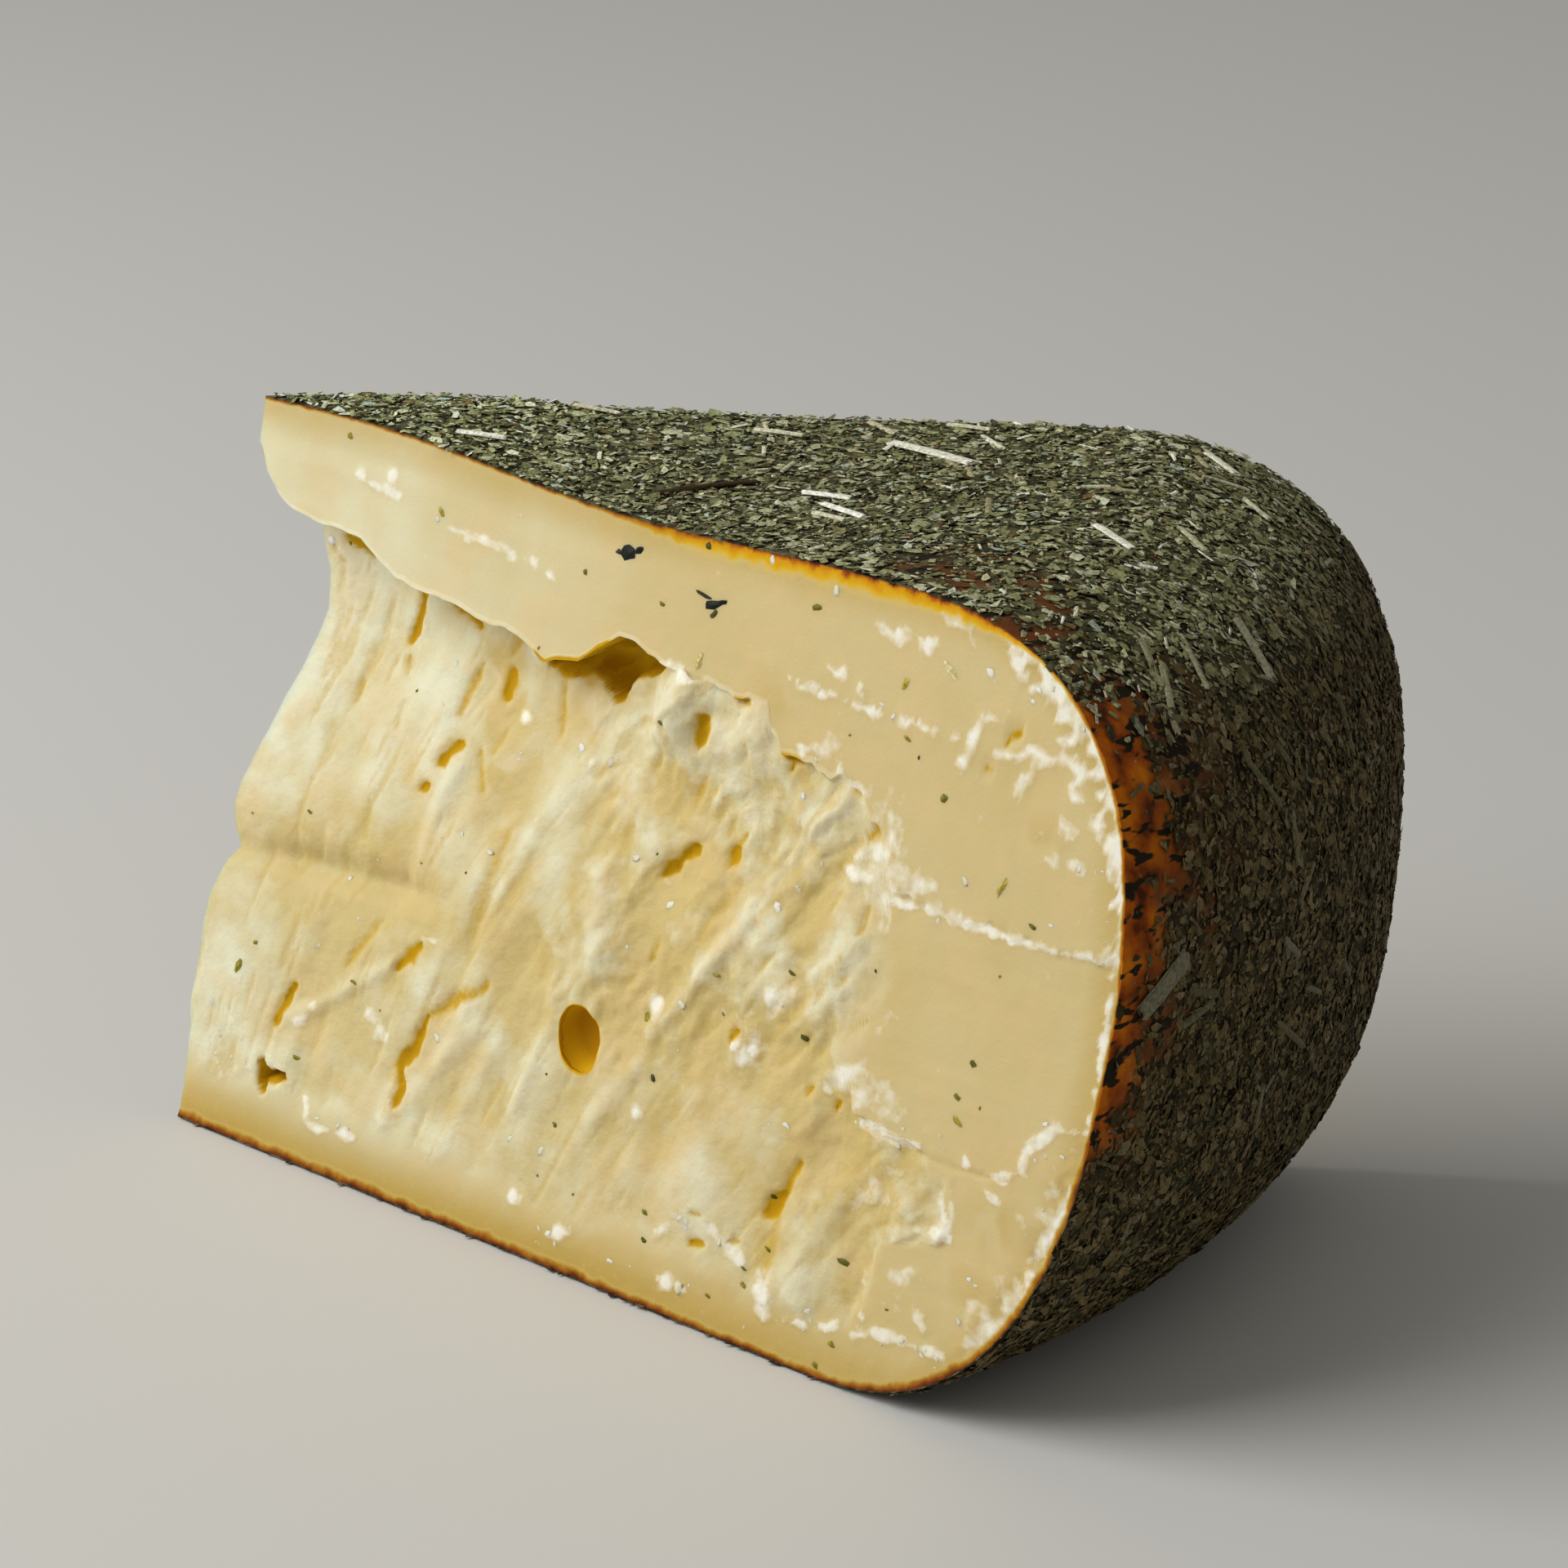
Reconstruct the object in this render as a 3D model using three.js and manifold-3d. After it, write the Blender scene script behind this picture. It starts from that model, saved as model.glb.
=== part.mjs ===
// A wedge of lovage cheese: about a ninth of a wheel of semi-hard cheese, standing on its base.
// Its rind is coated with chopped dried herb, and stalks of that herb stand proud of the coat.
// The front cut is smooth under the top rind and at the heel. Between them the paste was torn
// away, which leaves a lip over a hollow, a cave under the lip, a crease that runs out at the tip,
// ridges that fan out from the tip, leaning flakes, an oval eye and a few slits.
// Units are millimetres and +Z is up. The wheel's axis is x = 0, y = 0 while the shapes are made,
// and the finished wedge is moved so that the middle of its base is the origin.
import * as THREE from "three";
import Module from "manifold-3d";
import { mergeVertices } from "three/addons/utils/BufferGeometryUtils.js";

const wasm = await Module();
wasm.setup();

// The wheel.
const wheelRadius = 150;
const wheelHeight = 95;
const topFlatRadius = 105;
const baseFlatRadius = 112;
const girthHeight = 0.52 * wheelHeight;
const heelReach = 2.65;
const heelSquareness = 2.5;

// The wedge. Both cuts start at the tip, which leans back as it rises.
const wedgeAngle = THREE.MathUtils.degToRad(39);
const tipBase = new THREE.Vector2(-4, -14);
const tipTop = new THREE.Vector2(-10, 9);

// The wheel's axis to the middle of the wedge's base.
const baseMiddle = new THREE.Vector2(70.2, 42);

// The torn part of the front cut. x runs from the tip to the heel and z is the height.
const lipLine = [
  [-14, 91], [-9.4, 88.5], [-5, 83.3], [3, 81.2], [12, 80.9], [20, 77], [36, 75.4], [43, 74.8], [48.5, 72.8],
  [53, 74.6], [61.5, 78.7], [69.5, 77], [82, 75.6], [92, 75.3], [100, 72.5], [106, 69], [112, 59], [135, 59],
  [160, 60.5],
];
const hollowByHeight = [
  [36, 0], [42, 0.8], [47, 2.1], [51, 3.1], [57, 4.6], [61, 5.7], [64, 6.5], [68, 7.1], [73, 6.9], [76, 6.3], [83, 5],
];
const hollowAlong = [[15, 1], [30, 0.88], [55, 0.7], [75, 0.45], [95, 0.24], [112, 0.1], [118, 0.03]];
const lipOverhang = 1.6;
// Beyond the cave the torn paste meets the lip almost level.
const level = { share: 0.8, x: [63, 71], z: [56, 72] };
const tornEdge = [
  [0, 117], [12, 119.5], [20, 124], [25, 130], [31, 126], [33, 114], [52, 114.5], [64, 110], [72, 100], [76, 92],
];
const baseBand = 8;
// The crease is a broad fold with a sharp notch in it, and runs out between two places along the cut.
const crease = { z: 36.4, slope: 0.05, fold: [1.45, 6, 5], notch: [0.8, 2.2, 1.2], from: 26, to: 40 };
const tipSwell = { z: 19, reach: 9, height: 0.35, to: 30 };
const cave = { x: 55.6, z: 72.9, halfWidth: 6.6, halfHeight: 2.8, depth: 5.2 };
const slits = [
  { from: [48, 31], to: [38, 24], width: 1.5, depth: 1.6 },
  { from: [38, 23], to: [35, 12.5], width: 1.5, depth: 2 },
  { from: [103.5, 20], to: [101, 16.8], width: 1.6, depth: 2 },
  { from: [12, 22], to: [10.5, 17], width: 1.4, depth: 1.8 },
];
const streak = { spacing: 4.6, length: 20, height: 0.8, slope: [0.12, 0.0072] };
const flake = { lean: THREE.MathUtils.degToRad(54), wide: 5.2, long: 9.5, height: 2.2, from: [46, 12], to: [70, 26] };
const lump = { size: 9, height: 1.9 };
const ridges = [
  { from: [73, 77], to: [73, 63], width: 5, height: 1.1 },
  { from: [77, 33], to: [89.5, 51], width: 2.4, height: 0.9 },
  { from: [44.6, 29], to: [50, 53], width: 2.4, height: 0.6 },
  { from: [94, 78.6], to: [87, 72.4], width: 3.6, height: 0.8 },
];
const ovalEye = {
  x: 65.2, z: 28.7, halfWidth: 3.8, halfHeight: 4.2, depth: 3.6, sunk: 0.7, lean: THREE.MathUtils.degToRad(-16),
};

// The back cut is a plain knife cut, with a few small eyes:
// [along the cut, height, half the width, half the height, depth].
const backEyes = [
  [41, 60, 2.4, 1.9, 2.2], [75, 31, 2.9, 3.5, 3], [96, 64, 1.6, 1.3, 1.5], [121, 43, 2.6, 2.1, 2.4],
  [55, 17, 1.5, 1.2, 1.3],
];
const backWave = { size: 34, height: 0.9, from: 25 };

// The top rind sags a little near the front cut and swells behind the tip: [x, y, reach, rise].
const topSwells = [[60, 8, 26, -1.3], [10, 22, 24, 1.3]];
const rindUnevenness = 0.9;

// Herb on the rind. Stalks are split lengthwise and tapered, leaf bits are flat.
const stalk = { count: 70, length: [6, 14], width: [1.2, 2.4], sides: 4, apart: 8.5 };
const leafBit = { count: 50, length: [2.6, 4.6], width: [1.6, 2.8], thickness: 0.9, apart: 6 };
const shareOnTop = 0.3;
const cutMargin = 1.2;

const { clamp, lerp, smoothstep } = THREE.MathUtils;

// A height along a line of [place, value] pairs.
function along(pairs, place) {
  const next = pairs.findIndex(([at]) => at > place);
  if (next === 0) return pairs[0][1];
  if (next < 0) return pairs[pairs.length - 1][1];
  const [[at0, value0], [at1, value1]] = [pairs[next - 1], pairs[next]];
  return lerp(value0, value1, (place - at0) / (at1 - at0));
}

// A number from 0 to 1 for each whole-number place, always the same.
function speck(i, j) {
  const wild = Math.sin(i * 127.1 + j * 311.7) * 43758.5453;
  return wild - Math.floor(wild);
}

// Smooth noise from 0 to 1, with one swell for each unit of u and v.
function swell(u, v) {
  const [i, j] = [Math.floor(u), Math.floor(v)];
  const [a, b] = [smoothstep(u - i, 0, 1), smoothstep(v - j, 0, 1)];
  return lerp(lerp(speck(i, j), speck(i + 1, j), a), lerp(speck(i, j + 1), speck(i + 1, j + 1), a), b);
}

// Swells on swells, each half as high, half the size and turned, from 0 to 1.
function clumps(u, v, rounds) {
  let [total, weight, sum] = [0, 1, 0];
  for (let k = 0; k < rounds; k++) {
    [total, sum] = [total + weight * swell(u, v), sum + weight];
    [u, v] = [1.6 * u - 1.2 * v + 5.3, 1.2 * u + 1.6 * v + 1.7];
    weight /= 2;
  }
  return total / sum;
}

const hill = (distance, reach) => Math.exp(-((distance / reach) ** 2));

// The heel of the wheel bulges between the two flats.
function radiusAt(z) {
  const [flat, share] =
    z > girthHeight
      ? [topFlatRadius, (z - girthHeight) / (wheelHeight - girthHeight)]
      : [baseFlatRadius, (girthHeight - z) / girthHeight];
  return flat + (wheelRadius - flat) * (1 - clamp(share, 0, 1) ** heelSquareness) ** (1 / heelReach);
}

const tipAt = (z) => new THREE.Vector2().lerpVectors(tipBase, tipTop, z / wheelHeight);

// How far the torn paste lies behind the plane of the cut, at a place under the lip.
function tornDepth(x, z) {
  const levelled = level.share * smoothstep(x, ...level.x) * smoothstep(z, ...level.z);
  const hollow = along(hollowByHeight, z) * along(hollowAlong, x) * (1 - levelled);
  const fromCrease = z - crease.z - crease.slope * x;
  const dip = ([depth, above, below]) => depth * hill(fromCrease, fromCrease > 0 ? above : below);
  const notched = dip(crease.fold) + dip(crease.notch) * (1 + smoothstep(x, 0, 8));
  const folded = notched * (1 - smoothstep(x, crease.from, crease.to));
  const swollen = tipSwell.height * hill(z - tipSwell.z, tipSwell.reach) * (1 - smoothstep(x, 0, tipSwell.to));
  const inCave = cave.depth * hill(x - cave.x, cave.halfWidth) * hill(z - cave.z, cave.halfHeight);
  const open = Math.max(...slits.map((s) => s.depth * hill(distanceTo(s, x, z), s.width)));
  return hollow + folded - swollen + inCave + tornShare(x, z) * (tornRelief(x, z) + open);
}

// Ridges that fan out from the tip, and flakes that lean over nearer the heel.
function tornRelief(x, z) {
  const across = x - (z - 50) * (streak.slope[0] + streak.slope[1] * Math.max(x, 0));
  const streaks = streak.height * (clumps(across / streak.spacing, z / streak.length, 2) - 0.5);
  const side = z * Math.cos(flake.lean) - x * Math.sin(flake.lean) + 2.5 * (swell(x / 6, z / 5) - 0.5);
  const forward = x * Math.cos(flake.lean) + z * Math.sin(flake.lean);
  const flakes = flake.height * (clumps(side / flake.wide, forward / flake.long, 2) - 0.5);
  const lumps = lump.height * (clumps(x / lump.size, z / lump.size, 2) - 0.5);
  const flaky =
    smoothstep(x + 8 * (swell(x / 9, z / 9) - 0.5), flake.from[0], flake.to[0]) *
    smoothstep(z - 0.12 * x, flake.from[1], flake.to[1]);
  const calm = lerp(0.1, 1, smoothstep(x, -2, 18));
  const raised = Math.max(...ridges.map((r) => r.height * (1 - smoothstep(distanceTo(r, x, z), 0, r.width))));
  return calm * (lumps + flaky * flakes + (1 - 0.6 * flaky) * streaks + 0.5) - raised;
}

// 1 where the paste is torn, falling to 0 in the smooth bands at the base and the heel.
function tornShare(x, z) {
  const edge = along(tornEdge, z);
  const soft = lerp(2, 8, smoothstep(z, 31, 40));
  return (1 - smoothstep(x, edge - soft, edge + 0.5)) * smoothstep(z, baseBand - 3, baseBand + 3);
}

function distanceTo({ from, to }, x, z) {
  const [dx, dz] = [to[0] - from[0], to[1] - from[1]];
  const share = clamp(((x - from[0]) * dx + (z - from[1]) * dz) / (dx * dx + dz * dz), 0, 1);
  return Math.hypot(x - from[0] - share * dx, z - from[1] - share * dz);
}

// A closed manifold-3d solid of a three.js geometry.
function solidOf(geometry) {
  const bare = geometry.clone();
  for (const name of Object.keys(bare.attributes)) if (name !== "position") bare.deleteAttribute(name);
  const merged = mergeVertices(bare, 1e-4);
  return new wasm.Manifold(
    new wasm.Mesh({
      numProp: 3,
      vertProperties: new Float32Array(merged.attributes.position.array),
      triVerts: new Uint32Array(merged.index.array),
    }),
  );
}

function geometryOf(solid) {
  const { vertProperties, triVerts } = solid.getMesh();
  const geometry = new THREE.BufferGeometry();
  geometry.setAttribute("position", new THREE.BufferAttribute(vertProperties, 3));
  geometry.setIndex(new THREE.BufferAttribute(triVerts, 1));
  geometry.computeVertexNormals();
  return geometry;
}

// A closed slab: a grid of points on one side, and the same grid pushed back by a vector.
function slabSolid(columns, rows, pointAt, push) {
  const [near, index, across] = [[], [], columns + 1];
  for (let j = 0; j <= rows; j++) for (let i = 0; i <= columns; i++) near.push(pointAt(i, j));
  const points = [...near, ...near.map((p) => p.clone().add(push))];
  const quad = (a, b, c, d) => index.push(a, c, b, a, d, c);
  const far = near.length;
  for (let j = 0; j < rows; j++)
    for (let i = 0; i < columns; i++) {
      const a = j * across + i;
      quad(a, a + 1, a + across + 1, a + across);
      quad(far + a, far + a + across, far + a + across + 1, far + a + 1);
    }
  for (let i = 0; i < columns; i++) {
    const top = rows * across + i;
    quad(i + 1, i, far + i, far + i + 1);
    quad(top, top + 1, far + top + 1, far + top);
  }
  for (let j = 0; j < rows; j++) {
    const [left, right] = [j * across, j * across + columns];
    quad(left, left + across, far + left + across, far + left);
    quad(right + across, right, far + right, far + right + across);
  }
  const geometry = new THREE.BufferGeometry().setFromPoints(points);
  geometry.setIndex(index);
  return solidOf(geometry);
}

// The whole wheel, turned from its profile, with an uneven top.
function wheelSolid() {
  const [turns, flatRings, heelRings] = [120, 6, 20];
  const profile = [];
  for (let k = 0; k < flatRings; k++) profile.push(new THREE.Vector2((k / flatRings) * baseFlatRadius, 0));
  for (let k = 0; k <= heelRings; k++) {
    const z = (wheelHeight / 2) * (1 - Math.cos((Math.PI * k) / heelRings));
    profile.push(new THREE.Vector2(radiusAt(z), z));
  }
  for (let k = flatRings - 1; k >= 0; k--)
    profile.push(new THREE.Vector2((k / flatRings) * topFlatRadius, wheelHeight));
  const turned = new THREE.LatheGeometry(profile, turns).rotateX(Math.PI / 2);
  const place = turned.attributes.position;
  for (let k = 0; k < place.count; k++) {
    const [x, y, z] = [place.getX(k), place.getY(k), place.getZ(k)];
    const onHeel = smoothstep(Math.hypot(x, y), baseFlatRadius, baseFlatRadius + 12);
    const uneven = 1 + (onHeel * rindUnevenness * (swell(x / 17 + y / 29, z / 19) - 0.8)) / wheelRadius;
    place.setXYZ(k, x * uneven, y * uneven, z + topRise(x, y) * smoothstep(z, girthHeight, wheelHeight));
  }
  return solidOf(turned);
}

function topRise(x, y) {
  return topSwells.reduce((sum, [sx, sy, reach, rise]) => sum + rise * hill(Math.hypot(x - sx, y - sy), reach), 0);
}

// What was taken away in front of the cut: its near side is the torn surface.
function frontOffcut() {
  const [low, high, start, end] = [-4, wheelHeight + 6, -17, wheelRadius + 8];
  const [columns, rowsUnder, rowsOver] = [66, 22, 4];
  const pointAt = (i, j) => {
    const x = lerp(start, end, i / columns);
    const lip = along(lipLine, x);
    const under = j <= rowsUnder;
    const foot = lip - 0.6 + lipOverhang * along(hollowAlong, x) * (1 - level.share * smoothstep(x, ...level.x));
    const z = under ? lerp(low, foot, (j / rowsUnder) ** 0.85) : lerp(lip, high, (j - rowsUnder - 1) / rowsOver);
    const y = tipAt(z).y + (under ? tornDepth(x, z) : 0);
    return new THREE.Vector3(x, y, z);
  };
  return slabSolid(columns, rowsUnder + rowsOver + 1, pointAt, new THREE.Vector3(0, -70, 0));
}

// What was taken away behind the back cut.
function backOffcut() {
  const [low, high, reach] = [-4, wheelHeight + 6, wheelRadius + 30];
  const [columns, rows] = [24, 12];
  const dir = new THREE.Vector2(Math.cos(wedgeAngle), Math.sin(wedgeAngle));
  const pointAt = (i, j) => {
    const [s, z] = [lerp(reach, -30, i / columns), lerp(low, high, j / rows)];
    const wave = backWave.height * swell(s / backWave.size + 7, z / backWave.size) * smoothstep(s, 0, backWave.from);
    const tip = tipAt(z);
    return new THREE.Vector3(tip.x + s * dir.x + wave * dir.y, tip.y + s * dir.y - wave * dir.x, z);
  };
  const push = new THREE.Vector3(-dir.y, dir.x, 0).multiplyScalar(220);
  return slabSolid(columns, rows, pointAt, push);
}

function eyeSolid(centre, halfWidth, depth, halfHeight, lean, turn) {
  const ball = new THREE.SphereGeometry(1, 12, 9).scale(halfWidth, depth, halfHeight);
  return solidOf(ball.rotateY(lean).rotateZ(turn).translate(centre.x, centre.y, centre.z));
}

function eyes() {
  const front = new THREE.Vector3(ovalEye.x, tipAt(ovalEye.z).y + ovalEye.sunk, ovalEye.z);
  const all = [eyeSolid(front, ovalEye.halfWidth, ovalEye.depth, ovalEye.halfHeight, ovalEye.lean, 0)];
  for (const [s, z, halfWidth, halfHeight, depth] of backEyes) {
    const tip = tipAt(z);
    const centre = new THREE.Vector3(tip.x + s * Math.cos(wedgeAngle), tip.y + s * Math.sin(wedgeAngle), z);
    all.push(eyeSolid(centre, halfWidth, depth, halfHeight, 0, wedgeAngle));
  }
  return all;
}

// Random numbers that come out the same each time.
function dice(seed) {
  let state = seed;
  return () => {
    state = (state * 1664525 + 1013904223) % 4294967296;
    return state / 4294967296;
  };
}

// A place on the rind with the direction that faces out of it: on the top, or round the heel.
function rindPlace(throwDie) {
  const angle = lerp(-0.12, wedgeAngle + 0.14, throwDie());
  if (throwDie() < shareOnTop) {
    const rim = topFlatRadius * Math.sqrt(throwDie());
    const [x, y] = [rim * Math.cos(angle), rim * Math.sin(angle)];
    return { at: new THREE.Vector3(x, y, wheelHeight + topRise(x, y)), out: new THREE.Vector3(0, 0, 1) };
  }
  const z = lerp(6, wheelHeight - 0.5, throwDie());
  const slant = (radiusAt(z + 0.2) - radiusAt(z - 0.2)) / 0.4;
  const out = new THREE.Vector3(Math.cos(angle), Math.sin(angle), -slant).normalize();
  const rim = radiusAt(z) - 0.3;
  return { at: new THREE.Vector3(rim * Math.cos(angle), rim * Math.sin(angle), z), out };
}

// True where a piece of herb would stay on the rind, clear of both cuts.
function clearOfCuts({ x, y, z }, margin) {
  const tip = tipAt(z);
  const behindFront = y - tip.y;
  const beforeBack = (x - tip.x) * Math.sin(wedgeAngle) - (y - tip.y) * Math.cos(wedgeAngle);
  return behindFront > margin && beforeBack > margin;
}

// Pieces of herb, spread so that no two centres are too near.
function herbPieces({ count, length, width, apart }, shapeOf, seed) {
  const throwDie = dice(seed);
  const [placed, pieces] = [[], []];
  for (let tries = 0; placed.length < count && tries < 40 * count; tries++) {
    const { at, out } = rindPlace(throwDie);
    const [long, wide, turn] = [lerp(...length, throwDie()), lerp(...width, throwDie()), throwDie() * Math.PI];
    if (!clearOfCuts(at, long / 2 + cutMargin) || placed.some((p) => p.distanceTo(at) < apart)) continue;
    placed.push(at);
    const shape = shapeOf(long, wide);
    const lie = new THREE.Quaternion().setFromUnitVectors(new THREE.Vector3(0, 0, 1), out);
    const matrix = new THREE.Matrix4().compose(at, lie, new THREE.Vector3(1, 1, 1));
    pieces.push(solidOf(shape.rotateZ(turn).applyMatrix4(matrix)));
  }
  return pieces;
}

const stalkShape = (long, wide) =>
  new THREE.CylinderGeometry(wide * 0.5, wide * 0.66, long, stalk.sides)
    .rotateY(Math.PI / stalk.sides)
    .scale(1, 1, 0.7)
    .translate(0, 0, wide / 8);

const leafShape = (long, wide) =>
  new THREE.BoxGeometry(long, wide, leafBit.thickness).rotateX(0.12).rotateY(0.1);

// The quarter of the wheel that the wedge is cut from.
function quarterSolid() {
  const [left, front] = [tipTop.x - 6, tipBase.y - 6];
  const room = new THREE.BoxGeometry(wheelRadius * 1.2, wheelRadius * 1.1, wheelHeight * 1.5);
  room.translate(left + wheelRadius * 0.6, front + wheelRadius * 0.55, wheelHeight / 2);
  return wheelSolid().intersect(solidOf(room));
}

function cheeseSolid() {
  const herb = [...herbPieces(stalk, stalkShape, 11), ...herbPieces(leafBit, leafShape, 29)];
  let cheese = quarterSolid().subtract(frontOffcut()).subtract(backOffcut());
  for (const eye of eyes()) cheese = cheese.subtract(eye);
  for (const piece of herb) cheese = cheese.add(piece);
  const parts = cheese.decompose();
  return parts.reduce((largest, part) => (part.volume() > largest.volume() ? part : largest));
}

const paste = new THREE.MeshStandardMaterial({ color: "#d9cb9c", roughness: 0.5, metalness: 0 });

const wedge = new THREE.Mesh(geometryOf(cheeseSolid()), paste);
wedge.name = "lovage_cheese_wedge";
wedge.geometry.translate(-baseMiddle.x, -baseMiddle.y, 0);

const part = new THREE.Group();
part.add(wedge);

export default part;
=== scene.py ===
# Wedge of lovage cheese: a cream paste torn open at the front, and a rind coated with chopped herb.
# Sizes are millimetres. x and y start at the axis of the wheel that the wedge was cut from, z at its base.
import math

import bpy
import numpy as np
from mathutils import Matrix, Vector
from mathutils.bvhtree import BVHTree


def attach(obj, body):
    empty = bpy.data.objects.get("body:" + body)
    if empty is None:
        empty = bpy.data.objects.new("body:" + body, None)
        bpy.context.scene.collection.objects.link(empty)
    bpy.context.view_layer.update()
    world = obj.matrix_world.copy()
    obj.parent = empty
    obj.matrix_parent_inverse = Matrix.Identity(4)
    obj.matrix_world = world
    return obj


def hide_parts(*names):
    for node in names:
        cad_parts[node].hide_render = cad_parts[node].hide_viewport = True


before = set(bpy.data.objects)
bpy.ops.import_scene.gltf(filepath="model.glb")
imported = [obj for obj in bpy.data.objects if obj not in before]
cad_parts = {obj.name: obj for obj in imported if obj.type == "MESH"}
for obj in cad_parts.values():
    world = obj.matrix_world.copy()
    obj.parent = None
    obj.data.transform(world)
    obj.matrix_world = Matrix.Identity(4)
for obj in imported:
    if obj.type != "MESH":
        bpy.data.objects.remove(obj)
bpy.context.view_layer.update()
bpy.ops.object.select_all(action="DESELECT")

mm = 0.001
axisToMiddle = np.array((70.2, 42, 0))  # the frame's origin is the middle of the wedge's base
cheeseNode = "lovage_cheese_wedge"

wheel = {
    "radius": 150, "height": 95, "topFlat": 105, "baseFlat": 112, "girth": 0.52 * 95,
    "reach": 2.65, "squareness": 2.5, "flatShare": 0.14, "turns": 160, "rings": 64,
    "swells": [(60, 8, 26, -1.3), (10, 22, 24, 1.3)],  # x, y, reach and rise of the top
    "uneven": 0.9, "coatRoom": 0.45, "baseRoom": 0.25,
    "smoothUpTo": 52,  # degrees: a sharper edge stays sharp
}
wedge = {"angle": math.radians(39), "tipBase": (-4, -14), "tipTop": (-10, 9)}

# camera, worked out from the outline of the cut and of the heel in the photograph
camera = {
    "target": (60, 10, 47.5), "azimuth": 43.91, "elevation": 19.16, "roll": 0.535, "distance": 776.26,
    "shift": (17.96, 9.6), "lens": 139.7, "sensor": 36, "pictureSide": 1920,
}


def toFrame(points):
    return (np.asarray(points, float) - axisToMiddle) * mm


def toWheel(points):
    return np.asarray(points, float) / mm + axisToMiddle


def cameraAxes():
    azimuth, elevation, roll = (math.radians(camera[k]) for k in ("azimuth", "elevation", "roll"))
    flat = math.cos(elevation)
    back = Vector((math.sin(azimuth) * flat, -math.cos(azimuth) * flat, math.sin(elevation)))
    right = Vector((math.cos(azimuth), math.sin(azimuth), 0))
    up = back.cross(right)
    return math.cos(roll) * right + math.sin(roll) * up, math.cos(roll) * up - math.sin(roll) * right, back


def addCamera():
    right, up, back = cameraAxes()
    place = Vector(toFrame(camera["target"]))
    place += (back * camera["distance"] + right * camera["shift"][0] + up * camera["shift"][1]) * mm
    bpy.ops.object.camera_add(location=place)
    made = bpy.context.object
    made.matrix_world = Matrix.Translation(place) @ Matrix((right, up, back)).transposed().to_4x4()
    made.data.lens = camera["lens"]
    made.data.clip_start, made.data.clip_end = 0.05, 20
    bpy.context.scene.camera = made


addCamera()
bpy.context.scene.view_settings.view_transform = "Standard"
print("camera is in place")


# small tools for meshes

def readPoints(obj):
    points = np.empty(len(obj.data.vertices) * 3, np.float32)
    obj.data.vertices.foreach_get("co", points)
    return points.reshape(-1, 3).astype(float)


def movePoints(obj, points):
    obj.data.vertices.foreach_set("co", np.asarray(points, np.float32).ravel())
    obj.data.update()


def storeValues(obj, name, values):
    held = obj.data.attributes.new(name, "FLOAT", "POINT")
    held.data.foreach_set("value", np.asarray(values, np.float32))


def finishNormals():
    bpy.ops.object.mode_set(mode="EDIT")
    bpy.ops.mesh.select_all(action="SELECT")
    bpy.ops.mesh.normals_make_consistent(inside=False)
    bpy.ops.object.mode_set(mode="OBJECT")


def applyPlace(obj):
    bpy.ops.object.transform_apply(location=True, rotation=True, scale=True)
    return obj


def cutAway(obj, tool):
    cutter = obj.modifiers.new("cut", "BOOLEAN")
    cutter.operation = "DIFFERENCE"
    cutter.solver = "MANIFOLD"
    cutter.object = tool
    bpy.context.view_layer.objects.active = obj
    bpy.ops.object.modifier_apply(modifier=cutter.name)
    bpy.data.objects.remove(tool)


def speck(i, j):  # a number from 0 to 1 for each whole-number place, always the same
    wild = np.sin(i * 127.1 + j * 311.7) * 43758.5453
    return wild - np.floor(wild)


def smooth(value, low, high):
    share = np.clip((value - low) / (high - low), 0, 1)
    return share * share * (3 - 2 * share)


def swell(u, v):  # soft hills from 0 to 1, one for each unit
    i, j = np.floor(u), np.floor(v)
    a, b = smooth(u - i, 0, 1), smooth(v - j, 0, 1)
    low = speck(i, j) * (1 - a) + speck(i + 1, j) * a
    high = speck(i, j + 1) * (1 - a) + speck(i + 1, j + 1) * a
    return low * (1 - b) + high * b


def clumps(u, v, rounds):  # hills on hills, each half as high, half the size and turned, from 0 to 1
    total, weight = 0, 1
    for k in range(rounds):
        total = total + weight * swell(u, v)
        u, v = 1.6 * u - 1.2 * v + 5.3, 1.2 * u + 1.6 * v + 1.7
        weight = weight / 2
    return total / (2 - 2 * weight)


def hill(distance, reach):
    return np.exp(-((distance / reach) ** 2))


def along(pairs, place):
    return np.interp(place, [p[0] for p in pairs], [p[1] for p in pairs])


def nearLine(line, x, z):  # distance to a line through a few points, and how far along it, from 0 to 1
    nearest = np.full(np.broadcast(x, z).shape, 1e6)
    place = np.zeros(nearest.shape)
    whole = sum(math.dist(a, b) for a, b in zip(line, line[1:]))
    before = 0
    for (x0, z0), (x1, z1) in zip(line, line[1:]):
        dx, dz, length = x1 - x0, z1 - z0, math.dist((x0, z0), (x1, z1))
        share = np.clip(((x - x0) * dx + (z - z0) * dz) / length ** 2, 0, 1)
        away = np.hypot(x - x0 - share * dx, z - z0 - share * dz)
        place = np.where(away < nearest, (before + share * length) / whole, place)
        nearest = np.minimum(nearest, away)
        before += length
    return nearest, place


# the wheel and the two cuts

def radiusAt(z):
    girth = wheel["girth"]
    upper = z > girth
    flat = np.where(upper, wheel["topFlat"], wheel["baseFlat"])
    share = np.where(upper, (z - girth) / (wheel["height"] - girth), (girth - z) / girth)
    bulge = (1 - np.clip(share, 0, 1) ** wheel["squareness"]) ** (1 / wheel["reach"])
    return flat + (wheel["radius"] - flat) * bulge


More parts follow.
